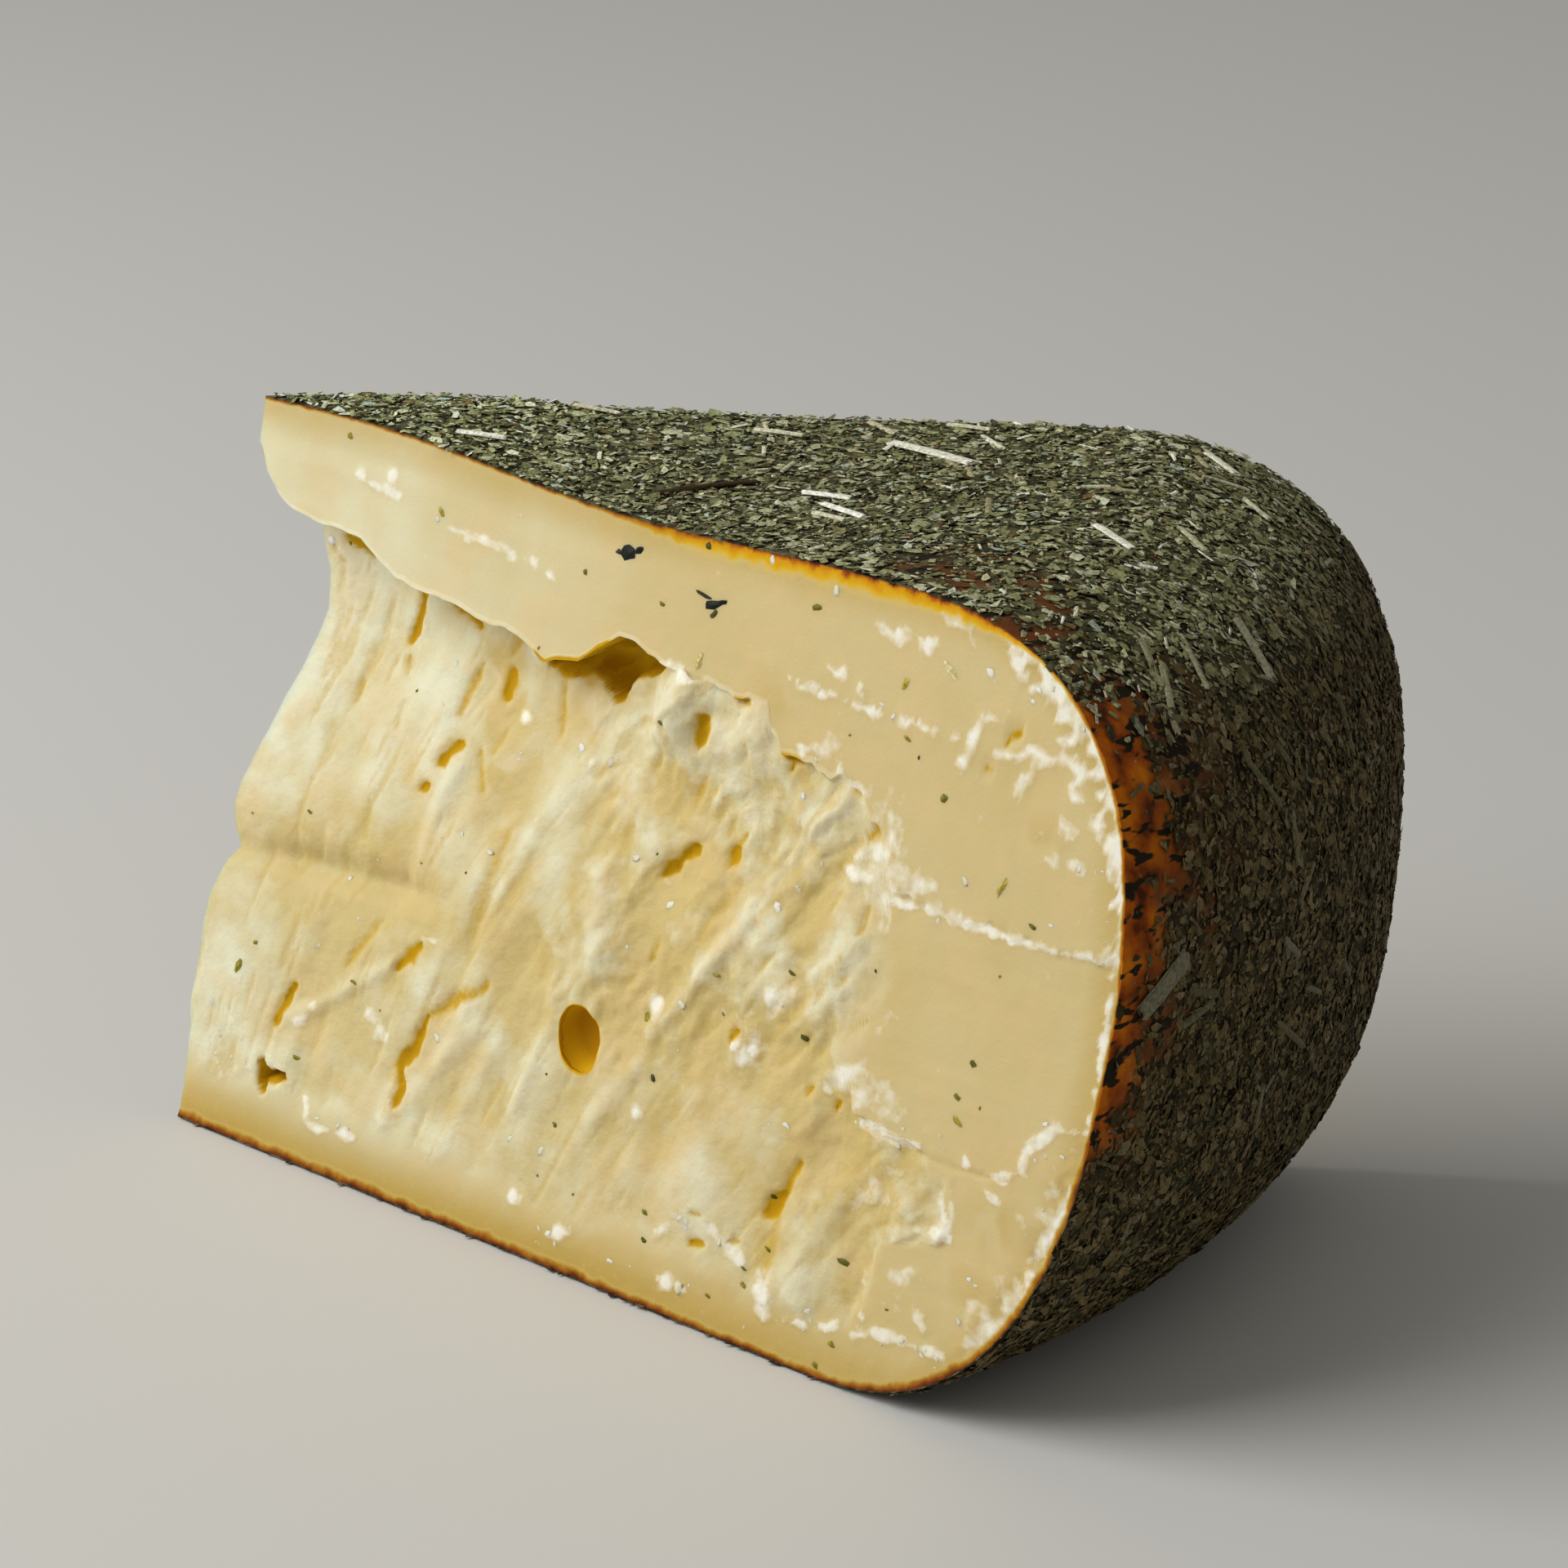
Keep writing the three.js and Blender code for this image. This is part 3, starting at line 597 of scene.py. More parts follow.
def frontPoints(column, row):
    low, high = -4, wheel["height"] + 6
    under, lipEnd = torn["underRows"], torn["underRows"] + torn["lipRows"]
    x = -17 + (wheel["radius"] + 25) * column / torn["columns"]
    lip = raggedLip(x)
    hang = torn["overhang"] * along(torn["reach"], x) * (1 - 0.8 * smooth(x, *torn["flush"]["x"]))
    foot = lip - 0.6 + hang
    z = low + (foot - low) * np.clip(row / under, 0, 1)
    depth = underLip(x, z)
    inLip = np.clip((row - under) / torn["lipRows"], 0, 1)
    z = z + (lip - foot) * inLip
    overShare = np.clip((row - lipEnd) / torn["overRows"], 0, 1)
    z = z + (high - lip) * overShare
    depth = np.where(row > under, depth * (1 - inLip) ** 0.8 + overLip(x, z) * inLip, depth)
    return np.stack([x, tipAt(z)[1] + depth, z], -1)


backCut = {
    "columns": 190, "rows": 110, "past": 30, "waveSize": 34, "wave": 0.9, "waveFrom": 25, "pitDepth": 0.9,
}

# eyes of the back cut: along it from the tip, height, half the width, half the height, depth
backEyes = [
    (41, 60, 2.4, 1.9, 2.2), (75, 31, 2.9, 3.5, 3), (96, 64, 1.6, 1.3, 1.5), (121, 43, 2.6, 2.1, 2.4),
    (55, 17, 1.5, 1.2, 1.3),
]

# slits of the back cut, as above
backPits = [
    ([(30, 44), (33, 38)], 0.8, 1.1), ([(61, 49), (66, 47.6)], 0.8, 1.2),
    ([(84, 52), (88.5, 49)], 0.9, 1.3), ([(104, 25), (108, 27.4)], 0.8, 1.1),
    ([(24, 22), (26, 17)], 0.7, 0.9), ([(112, 70), (116, 68)], 0.7, 1),
    ([(66, 72), (71, 73.4)], 0.7, 0.9), ([(132, 57), (134, 53)], 0.7, 1),
    ([(90, 15), (95, 13.4)], 0.7, 0.9), ([(48, 33), (50, 28)], 0.7, 0.7),
    ([(18, 66), (19.4, 61)], 0.7, 0.8), ([(78, 58), (80, 60)], 0.9, 1.2),
    ([(66.4, 60), (69, 63.6)], 1.2, 1.6), ([(108, 35), (112, 33)], 1, 1.4),
    ([(36, 73), (41, 72)], 0.9, 1.3), ([(98, 46), (99, 41)], 0.8, 1.2),
    ([(126, 62), (130, 63.4)], 0.8, 1.2), ([(20, 34), (22, 29)], 0.8, 1.2),
    ([(70, 12), (73, 13.4)], 0.8, 1.2), ([(114, 15), (118, 17)], 0.9, 1.3),
]

# pale dragged lines of the back cut, as above
backDragged = [
    ([(18, 80), (34, 78.6), (50, 80)], 0.7), ([(68, 66), (92, 67.4), (120, 66)], 0.8),
    ([(94, 22), (112, 24)], 0.8), ([(126, 74), (135, 69)], 1.1), ([(28, 30), (37, 28)], 0.7),
    ([(58, 88.4), (86, 87.6)], 0.6), ([(119, 31), (133, 28)], 0.9),
    ([(104, 54), (108, 57), (112, 55)], 1), ([(44, 47), (51, 45.6)], 0.8), ([(84, 10), (97, 9)], 0.8),
    ([(24, 57), (28, 60)], 0.7), ([(62, 25), (66, 22)], 0.9), ([(130, 48), (136, 46)], 1),
    ([(88, 78), (100, 78.6)], 0.7), ([(16, 14), (30, 12)], 0.7),
]


def backPoints(column, row):
    reach, size = wheel["radius"] + backCut["past"], backCut["waveSize"]
    s = reach + (-backCut["past"] - reach) * column / backCut["columns"]
    z = -4 + (wheel["height"] + 10) * row / backCut["rows"]
    wave = backCut["wave"] * swell(s / size + 7, z / size) * smooth(s, 0, backCut["waveFrom"])
    wave = wave + 0.25 * (swell(s / 5, z / 4) - 0.5) + 0.12 * (swell(s / 1.7, z / 1.6) - 0.5)
    wave = wave + backCut["pitDepth"] * deepest(backPits, s, z)
    tipX, tipY = tipAt(z)
    dx, dy = math.cos(wedge["angle"]), math.sin(wedge["angle"])
    return np.stack([tipX + s * dx + wave * dy, tipY + s * dy - wave * dx, z], -1)


def onBack(s, z):  # a point of the back cut, s along it from the tip
    tipX, tipY = tipAt(z)
    return tipX + s * math.cos(wedge["angle"]), tipY + s * math.sin(wedge["angle"]), z


def eyeTool(centre, sizes, turn):
    bpy.ops.mesh.primitive_uv_sphere_add(segments=48, ring_count=24, location=toFrame(centre), rotation=turn)
    bpy.context.object.scale = [s * mm for s in sizes]
    return applyPlace(bpy.context.object)


def makeBody():
    bpy.ops.mesh.primitive_uv_sphere_add(segments=wheel["turns"], ring_count=wheel["rings"], radius=1)
    body = bpy.context.object
    body.name = "cheese_body"
    ball = readPoints(body)
    share = np.arccos(np.clip(ball[:, 2], -1, 1)) / np.pi
    movePoints(body, toFrame(rindPoint(share, np.arctan2(ball[:, 1], ball[:, 0]))))
    bpy.ops.object.mode_set(mode="EDIT")
    bpy.ops.mesh.select_all(action="SELECT")
    leftOfTip = toFrame((wedge["tipTop"][0] - 6, 0, 0))
    bpy.ops.mesh.bisect(plane_co=leftOfTip, plane_no=(1, 0, 0), use_fill=True, clear_inner=True)
    bpy.ops.object.mode_set(mode="OBJECT")
    finishNormals()
    rows = torn["underRows"] + torn["lipRows"] + torn["overRows"]
    cutAway(body, gridTool("front", torn["columns"], rows, frontPoints, (0, -400, 0)))
    away = (-400 * math.sin(wedge["angle"]), 400 * math.cos(wedge["angle"]), 0)
    cutAway(body, gridTool("back", backCut["columns"], backCut["rows"], backPoints, away))
    eye = ovalEye
    eyeMiddle = (eye["x"], tipAt(eye["z"])[1] + eye["sunk"], eye["z"])
    eyeSize = (eye["halfWidth"], eye["depth"], eye["halfHeight"])
    cutAway(body, eyeTool(eyeMiddle, eyeSize, (0, eye["lean"], 0)))
    for s, z, halfWidth, halfHeight, depth in backEyes:
        cutAway(body, eyeTool(onBack(s, z), (halfWidth, depth, halfHeight), (0, 0, wedge["angle"])))
    return body


body = makeBody()
print("body has", len(body.data.polygons), "faces")


# what the paste's and the rind's colours follow, worked out for each point of the body

def bareShare(x, y, z):  # 1 where the coat has come off the heel, beside the front cut
    front = cutDistances(x, y, z)[0] + 3 * (swell(z / 7, 4.4) - 0.5)
    reach = 5.5 + 3 * smooth(z, 50, 72)
    patch = (1 - smooth(front, reach - 3, reach + 3)) * smooth(z, 30, 42) * (1 - smooth(z, 84, 92))
    return patch * smooth(np.hypot(x, y), 120, 131)


def ruddyShare(x, y, z):  # 1 where the washed rind shows reddish brown through a thin coat
    front = cutDistances(x, y, z)[0]
    heel = (1 - smooth(front, 10, 30)) * smooth(z, 34, 60) * smooth(x, 124, 134)
    rim = (1 - smooth(front, 10, 26)) * smooth(x, 88, 102) * smooth(z, 76, 86)
    return np.maximum(heel, rim) * smooth(clumps(x / 5 + 3, y / 4 + z / 6, 2), 0.42, 0.62)


def rindThickness(x, z):  # the coloured line under the coat is thickest along the middle of the top
    onTop = smooth(x, 52, 76) * (1 - smooth(x, 116, 128)) * smooth(z, 70, 84)
    lowHeel = smooth(x, 108, 122) * (1 - smooth(z, 26, 44))
    onBase = (1 - smooth(z, 5, 12)) * (1 - 0.4 * smooth(x, 60, 110))
    return 0.6 + 1.7 * onTop + 0.5 * lowHeel + 0.8 * onBase


def rindBrown(x, y, z):  # 1 where that line is dark brown, 0 where it is amber
    radius = np.hypot(x, y)
    base = 1 - smooth(z, 5, 22)
    heel = 0.75 * smooth(radius, 128, 140)
    return np.maximum(np.maximum(base, heel), (1 - smooth(radius, 50, 76)) * smooth(z, 60, 80))


def yellowing(x, y, z):  # the paste is yellower close to the rind, most of all low down
    inward = np.hypot(x, y)
    base = 0.9 * (1 - smooth(z, 0.8, 11 - 2 * smooth(inward, 20, 50))) * (1 - 0.35 * smooth(inward, 60, 140))
    return np.maximum(base, 0.5 * (1 - smooth(rindDepth(x, y, z), 0.8, 6)))


def recessShadeShare(x, z):  # how low a place of the torn paste lies, as painted shade: warmer and darker in low places and the crease, paler deep in the hollow under the lip as painted light; with tan patches
    hollow = 0.1 * along(torn["deep"], z) * along(torn["reach"], x)
    low = 0.42 + 0.75 * tornRelief(x, z) + 0.3 * creaseDip(x, z) - hollow
    low = low + 0.5 * tanShare(x, z) - 0.2 * (1 - smooth(z, 20, 36))
    return np.clip(low - 0.25 * smooth(x, 60, 70) * smooth(z, 50, 60), 0, 1.2)


def colourBody():
    x, y, z = toWheel(readPoints(body)).T
    tipX, tipY = tipAt(z)
    depthIn, lip, share, marked = y - tipY, raggedLip(x), tornShare(x, z), allPits(x, z)
    onFront = depthIn < underLip(x, z) + 0.5
    ceiling = (z > lip - 0.4) & (depthIn > 0.5) & (depthIn < underLip(x, z - 1.5) + 1.5) & (x < 112)
    underneath = z < lip + 0.05
    marks = np.maximum(marked / 1.6, np.maximum(stain(x, z), grooves(x, z)) * share)
    # the ochre deepens with the pit's depth, partly the paste's colour there and partly painted shade and
    # glow through the paste
    deeper = np.clip(marks, 0, 1) + 0.5 * np.clip(marked / 5, 0, 1)
    pit = np.where((onFront & (underneath | (x > 112))) | ceiling, deeper, 0)
    eye = np.hypot((x - ovalEye["x"]) / ovalEye["halfWidth"], (z - ovalEye["z"]) / ovalEye["halfHeight"])
    pit = np.where((eye < 1.4) & (depthIn < 8), 0, pit)

    s = (x - tipX) * math.cos(wedge["angle"]) + (y - tipY) * math.sin(wedge["angle"])
    onBackCut = cutDistances(x, y, z)[1] < 2.2
    pit = np.where(onBackCut & ~onFront, np.clip(deepest(backPits, s, z) / 1.3, 0, 1), pit)
    inRind = rindDepth(x, y, z)
    whitish = np.max([*smears(backDragged, s, z), rimChalk(inRind, s, z)], axis=0)
    whitish = np.where(onFront, chalk(x, z), onBackCut * whitish)
    tornHere = np.where(ceiling, 0.7, onFront * share * underneath)
    values = {
        "rindDepth": inRind, "rindLine": inRind / rindThickness(x, z), "rindBrown": rindBrown(x, y, z),
        "yellowing": yellowing(x, y, z), "heart": 1 - smooth(np.hypot(x, y), 5, 78),
        # the torn paste's painted shade in its low places is among these values
        "tan": onFront * tanShare(x, z), "torn": tornHere, "recessShade": tornHere * recessShadeShare(x, z),
        "pit": pit, "chalk": whitish, "flaky": flakiness(x, z),
        "bare": bareShare(x, y, z), "ruddy": ruddyShare(x, y, z),
    }
    for name in values:
        storeValues(body, name, values[name])
    return list(values)


bodyValues = colourBody()
bpy.context.view_layer.objects.active = body
body.select_set(True)
bpy.ops.object.shade_smooth_by_angle(angle=math.radians(wheel["smoothUpTo"]))
bpy.ops.object.select_all(action="DESELECT")


# materials

def linear(hexColour):
    parts = [int(hexColour[k:k + 2], 16) / 255 for k in (1, 3, 5)]
    return [p / 12.92 if p <= 0.04045 else ((p + 0.055) / 1.055) ** 2.4 for p in parts] + [1]


def add(tree, kind, inputs, out=0, ramp=(), **settings):  # adds a node and gives back one of its outputs
    made = tree.nodes.new("ShaderNode" + kind)
    for name, value in settings.items():
        setattr(made, name, value)
    for socket, source in inputs.items():
        if isinstance(source, bpy.types.NodeSocket):
            tree.links.new(source, made.inputs[socket])
        else:
            made.inputs[socket].default_value = linear(source) if isinstance(source, str) else source
    for k, (place, hexColour) in enumerate(ramp):
        while len(made.color_ramp.elements) <= k:
            made.color_ramp.elements.new(1)
        made.color_ramp.elements[k].position = place
        made.color_ramp.elements[k].color = linear(hexColour)
    return made.outputs[out]


def newMaterial(name):
    made = bpy.data.materials.new(name)
    made.use_nodes = True
    return made, made.node_tree, made.node_tree.nodes["Principled BSDF"]


def setShader(shader, values):
    for name, value in values.items():
        shader.inputs[name].default_value = value


paste = {
    "cutPale": "#ded8b4", "cutWarm": "#d2bf8a", "patch": "#c8b070", "peach": "#dcc08a",
    # the torn paste's warm tone serves its mottling and also its painted shade in low places
    "tornPale": "#e2e1c6", "tornWarmAndShade": "#cab370", "yellow": "#b9993c", "chalk": "#f2f0e2",
    # ochre of the pits by depth: darker and more saturated as painted shade and glow, the deepest paler
    # again as painted light against the cave's shade
    "pits": [
        (0, "#d6c288"), (0.2, "#ceb268"), (0.36, "#c8a43c"), (0.52, "#c09404"), (0.78, "#b88b00"),
        (1, "#e0b80a"),
    ],
    # the eye, darker towards its middle as painted shade
    "eye": [(0.7, "#b88600"), (0.98, "#d6a808")],
    # millimetres from one patch to the next, and how much detail each pattern has
    "patches": 24, "blush": 9, "mottle": 4.4, "flecks": 0.9, "crumble": 2.2, "grain": 0.6,
    "detail": {"patches": 2, "blush": 2, "mottle": 3, "flecks": 3, "crumble": 4, "grain": 3},
    "rindAmber": [(0, "#5a2405"), (0.12, "#a35204"), (0.34, "#d09204"), (0.7, "#d9ac1a"), (1, "#d8bc68")],
    "rindBrown": [(0, "#441a06"), (0.3, "#83400c"), (0.6, "#a8741c"), (0.85, "#bd9a44"), (1, "#c9b066")],
    "amber": [(0.3, "#d07600"), (0.5, "#a85000"), (0.68, "#4a1c02")], "ruddy": "#68360e",
    "pressed": [(0, "#1f1e10"), (0.5, "#3f3e26"), (1, "#6d6c4e")], "pressedLeaf": 1.3,
    "stuck": "#20190a", "stuckLeaf": 2,
    "glow": 0.6, "roughCut": 0.4, "roughTorn": 0.5, "roughColoured": 0.85,
    "shader": {
        "Specular IOR Level": 0.2, "IOR": 1.45,
        "Subsurface Radius": (1, 0.6, 0.25), "Subsurface Scale": 2.2 * mm,
    },
}


# Semi-hard cheese, knife cut and torn: waxy and a little translucent, yellower towards the rind,
# ochre where an eye or a slit is deep, that ochre deepened as painted shade and glow, and warmer as painted
# shade where the torn paste lies low. The rind is a washed, dried skin of amber and brown, with the finest
# herb pressed into it.
def pasteMaterial():
    made, tree, shader = newMaterial("semi hard cheese paste and washed rind")
    place = add(tree, "TexCoord", {}, out="Object")
    value, noise = {}, {}
    for name in bodyValues:
        value[name] = add(tree, "Attribute", {}, out="Fac", attribute_name=name)
    for name, detail in paste["detail"].items():
        noise[name] = add(tree, "TexNoise", {
            "Vector": place, "Scale": 1 / (paste[name] * mm), "Detail": detail})

    cut = add(tree, "Mix", {
        0: value["heart"], 6: paste["cutWarm"], 7: paste["cutPale"]}, 2, data_type="RGBA")
    patch = add(tree, "MapRange", {
        "Value": noise["patches"], "From Min": 0.45, "From Max": 0.75, "To Max": 0.6})
    patch = add(tree, "Math", {0: value["tan"], 1: patch}, operation="MAXIMUM")
    cut = add(tree, "Mix", {0: patch, 6: cut, 7: paste["patch"]}, 2, data_type="RGBA")
    uneven = add(tree, "Math", {0: noise["mottle"], 1: 1.2, 2: -0.6}, operation="MULTIPLY_ADD")
    finer = add(tree, "Math", {0: noise["crumble"], 1: 0.8, 2: -0.36}, operation="MULTIPLY_ADD")
    # painted shade: the torn paste is warmer and darker where it lies low
    low = add(tree, "Math", {0: uneven, 1: value["recessShade"]}, operation="ADD")
    finer = add(tree, "Math", {0: finer, 1: value["flaky"]}, operation="MULTIPLY")
    low = add(tree, "Math", {0: low, 1: finer}, operation="ADD")
    lowShare = add(tree, "MapRange", {"Value": low, "From Min": 0, "From Max": 0.9})
    tornColour = add(tree, "Mix", {
        0: lowShare, 6: paste["tornPale"], 7: paste["tornWarmAndShade"]}, 2, data_type="RGBA")
    tornColour = add(tree, "Mix", {0: 0.3, 6: tornColour, 7: cut}, 2, data_type="RGBA")
    colour = add(tree, "Mix", {0: value["torn"], 6: cut, 7: tornColour}, 2, data_type="RGBA")
    flush = add(tree, "MapRange", {
        "Value": noise["blush"], "From Min": 0.48, "From Max": 0.64, "To Max": 0.34})
    layers = [(flush, paste["peach"]), (value["yellowing"], paste["yellow"])]  # each laid over those before

    # whitish smears along the dragged lines, broken up finer than the mesh
    broken = add(tree, "Math", {0: noise["crumble"], 1: 2, 2: -1}, operation="MULTIPLY_ADD")
    dusty = add(tree, "Math", {0: value["chalk"], 1: broken}, operation="ADD")
    dust = add(tree, "MapRange", {"Value": dusty, "From Min": 0.4, "From Max": 1.2, "To Max": 0.9})
    layers.append((dust, paste["chalk"]))

    # ochre in the pits, deeper where they are deeper as painted shade and glow through the paste, and in the
    # eyes
    ragged = add(tree, "Math", {0: noise["flecks"], 1: 0.7, 2: -0.35}, operation="MULTIPLY_ADD")
    pitEdge = add(tree, "Math", {0: value["pit"], 1: ragged}, operation="ADD")
    inPit = add(tree, "MapRange", {"Value": pitEdge, "From Min": 0.05, "From Max": 0.75})
    depth = add(tree, "Math", {0: value["pit"], 1: 1.5}, operation="DIVIDE")
    layers.append((inPit, add(tree, "ValToRGB", {0: depth}, ramp=paste["pits"])))
    middle = toFrame((ovalEye["x"], 0, ovalEye["z"])) * (1, 0, 1)
    flat = add(tree, "VectorMath", {0: place, 1: (1, 0, 1)}, operation="MULTIPLY")
    fromEye = add(tree, "VectorMath", {0: flat, 1: tuple(middle)}, operation="SUBTRACT")
    upright = add(tree, "VectorRotate", {
        "Vector": fromEye, "Angle": -ovalEye["lean"]}, rotation_type="Y_AXIS")
    stretch = (1 / (ovalEye["halfWidth"] * mm), 0, 1 / (ovalEye["halfHeight"] * mm))
    oval = add(tree, "VectorMath", {0: upright, 1: stretch}, operation="MULTIPLY")
    away = add(tree, "VectorMath", {0: oval}, out="Value", operation="LENGTH")
    onFace = add(tree, "SeparateXYZ", {0: place}, out="Y")
    infront = add(tree, "Math", {0: onFace, 1: -0.04}, operation="LESS_THAN")
    inOval = add(tree, "MapRange", {
        "Value": away, "From Min": 1, "From Max": 1.04, "To Min": 1, "To Max": 0})
    inEye = add(tree, "Math", {0: infront, 1: inOval}, operation="MULTIPLY")
    layers.append((inEye, add(tree, "ValToRGB", {0: away}, ramp=paste["eye"])))
    for s, z, halfWidth, halfHeight, deep in backEyes:
        centre = add(tree, "VectorMath", {0: place, 1: tuple(toFrame(onBack(s, z)))}, operation="SUBTRACT")
        turned = add(tree, "VectorRotate", {
            "Vector": centre, "Angle": -wedge["angle"]}, rotation_type="Z_AXIS")
        size = tuple(1 / (half * mm) for half in (halfWidth, deep, halfHeight))
        ball = add(tree, "VectorMath", {0: turned, 1: size}, operation="MULTIPLY")
        reach = add(tree, "VectorMath", {0: ball}, out="Value", operation="LENGTH")
        inBall = add(tree, "MapRange", {
            "Value": reach, "From Min": 1.01, "From Max": 1.06, "To Min": 1, "To Max": 0})
        inEye = add(tree, "Math", {0: inEye, 1: inBall}, operation="MAXIMUM")
        layers.append((inBall, paste["eye"][0][1]))

    # the rind on the cut is a line, dark outside and yellow inside
    wander = add(tree, "Math", {0: noise["crumble"], 1: 1.1, 2: -0.55}, operation="MULTIPLY_ADD")
    line = add(tree, "Math", {0: value["rindLine"], 1: wander}, operation="ADD")
    amberLine = add(tree, "ValToRGB", {0: line}, ramp=paste["rindAmber"])
    brownLine = add(tree, "ValToRGB", {0: line}, ramp=paste["rindBrown"])
    rind = add(tree, "Mix", {0: value["rindBrown"], 6: amberLine, 7: brownLine}, 2, data_type="RGBA")
    onLine = add(tree, "MapRange", {
        "Value": line, "From Min": 0.7, "From Max": 1.2, "To Min": 1, "To Max": 0})
    layers.append((onLine, rind))

    # the skin under the coat: pressed herb, reddish where the coat is thin, amber where it has come off
    cells = add(tree, "TexVoronoi", {
        "Vector": place, "Scale": 1 / (paste["pressedLeaf"] * mm)}, out="Color")
    skin = add(tree, "ValToRGB", {0: cells}, ramp=paste["pressed"])
    thin = add(tree, "Math", {0: value["ruddy"], 1: 0.9}, operation="MULTIPLY")
    amber = add(tree, "ValToRGB", {0: noise["mottle"]}, ramp=paste["amber"])
    level = add(tree, "VectorMath", {0: place, 1: (1, 0.4, 1)}, operation="MULTIPLY")
    stuck = add(tree, "TexNoise", {"Vector": level, "Scale": 1 / (paste["stuckLeaf"] * mm), "Detail": 2})
    stuckHere = add(tree, "MapRange", {"Value": stuck, "From Min": 0.56, "From Max": 0.6})
    for share, tone in ((thin, paste["ruddy"]), (value["bare"], amber), (stuckHere, paste["stuck"])):
        skin = add(tree, "Mix", {0: share, 6: skin, 7: tone}, 2, data_type="RGBA")
    onSkin = add(tree, "MapRange", {
        "Value": value["rindDepth"], "From Min": 0.06, "From Max": 0.25, "To Min": 1, "To Max": 0})
    layers.append((onSkin, skin))
    for share, tone in layers:
        colour = add(tree, "Mix", {0: share, 6: colour, 7: tone}, 2, data_type="RGBA")
    tree.links.new(colour, shader.inputs["Base Color"])

    # crumbled where it is torn; ochre and skin neither glow through nor shine
    crumbly = add(tree, "Math", {0: noise["crumble"], 1: value["torn"]}, operation="MULTIPLY")
    rougher = add(tree, "Bump", {"Height": crumbly, "Strength": 0.7, "Distance": 0.6 * mm}, out="Normal")
    bump = add(tree, "Bump", {
        "Height": noise["grain"], "Strength": 0.35, "Distance": 0.15 * mm, "Normal": rougher})
    tree.links.new(bump, shader.inputs["Normal"])
    coloured = inPit
    for share in (onSkin, inEye, onLine):
        coloured = add(tree, "Math", {0: coloured, 1: share}, operation="MAXIMUM")
    glow = add(tree, "MapRange", {"Value": coloured, "To Min": paste["glow"], "To Max": 0})
    rough = add(tree, "MapRange", {
        "Value": value["torn"], "To Min": paste["roughCut"], "To Max": paste["roughTorn"]})
    rough = add(tree, "Mix", {0: coloured, 2: rough, 3: paste["roughColoured"]})
    tree.links.new(glow, shader.inputs["Subsurface Weight"])
    tree.links.new(rough, shader.inputs["Roughness"])
    setShader(shader, paste["shader"])
    return made


body.data.materials.clear()
body.data.materials.append(pasteMaterial())
print("body is coloured")


# rays that find a place on the body

surface = BVHTree.FromPolygons([v.co for v in body.data.vertices], [p.vertices for p in body.data.polygons])


def pixelRay(column, row):  # the camera's ray through a place in the photograph
    right, up, back = cameraAxes()
    half = 0.5 * camera["sensor"] / camera["lens"]
    side = camera["pictureSide"]
    u, v = (2 * column / side - 1) * half, (1 - 2 * row / side) * half
    return bpy.context.scene.camera.location, (right * u + up * v - back).normalized()


def flatRay(x, z):  # the camera's ray through a place on the flat of the front cut
    start = bpy.context.scene.camera.location
    return start, (Vector(toFrame((x, tipAt(z)[1], z))) - start).normalized()


def backRay(s, z):  # straight onto the back cut, s along it from the tip
    inward = Vector((math.sin(wedge["angle"]), -math.cos(wedge["angle"]), 0))
    return Vector(toFrame(onBack(s, z))) - inward * 0.02, inward


def landing(start, direction):  # where a ray meets the body, and the way out of it there
    place, normal = surface.ray_cast(start, direction)[:2]
    return toWheel(place), np.array(normal)


# the coat of chopped herb: leaf flakes of two tones, leaf crumbs, straw and stalks

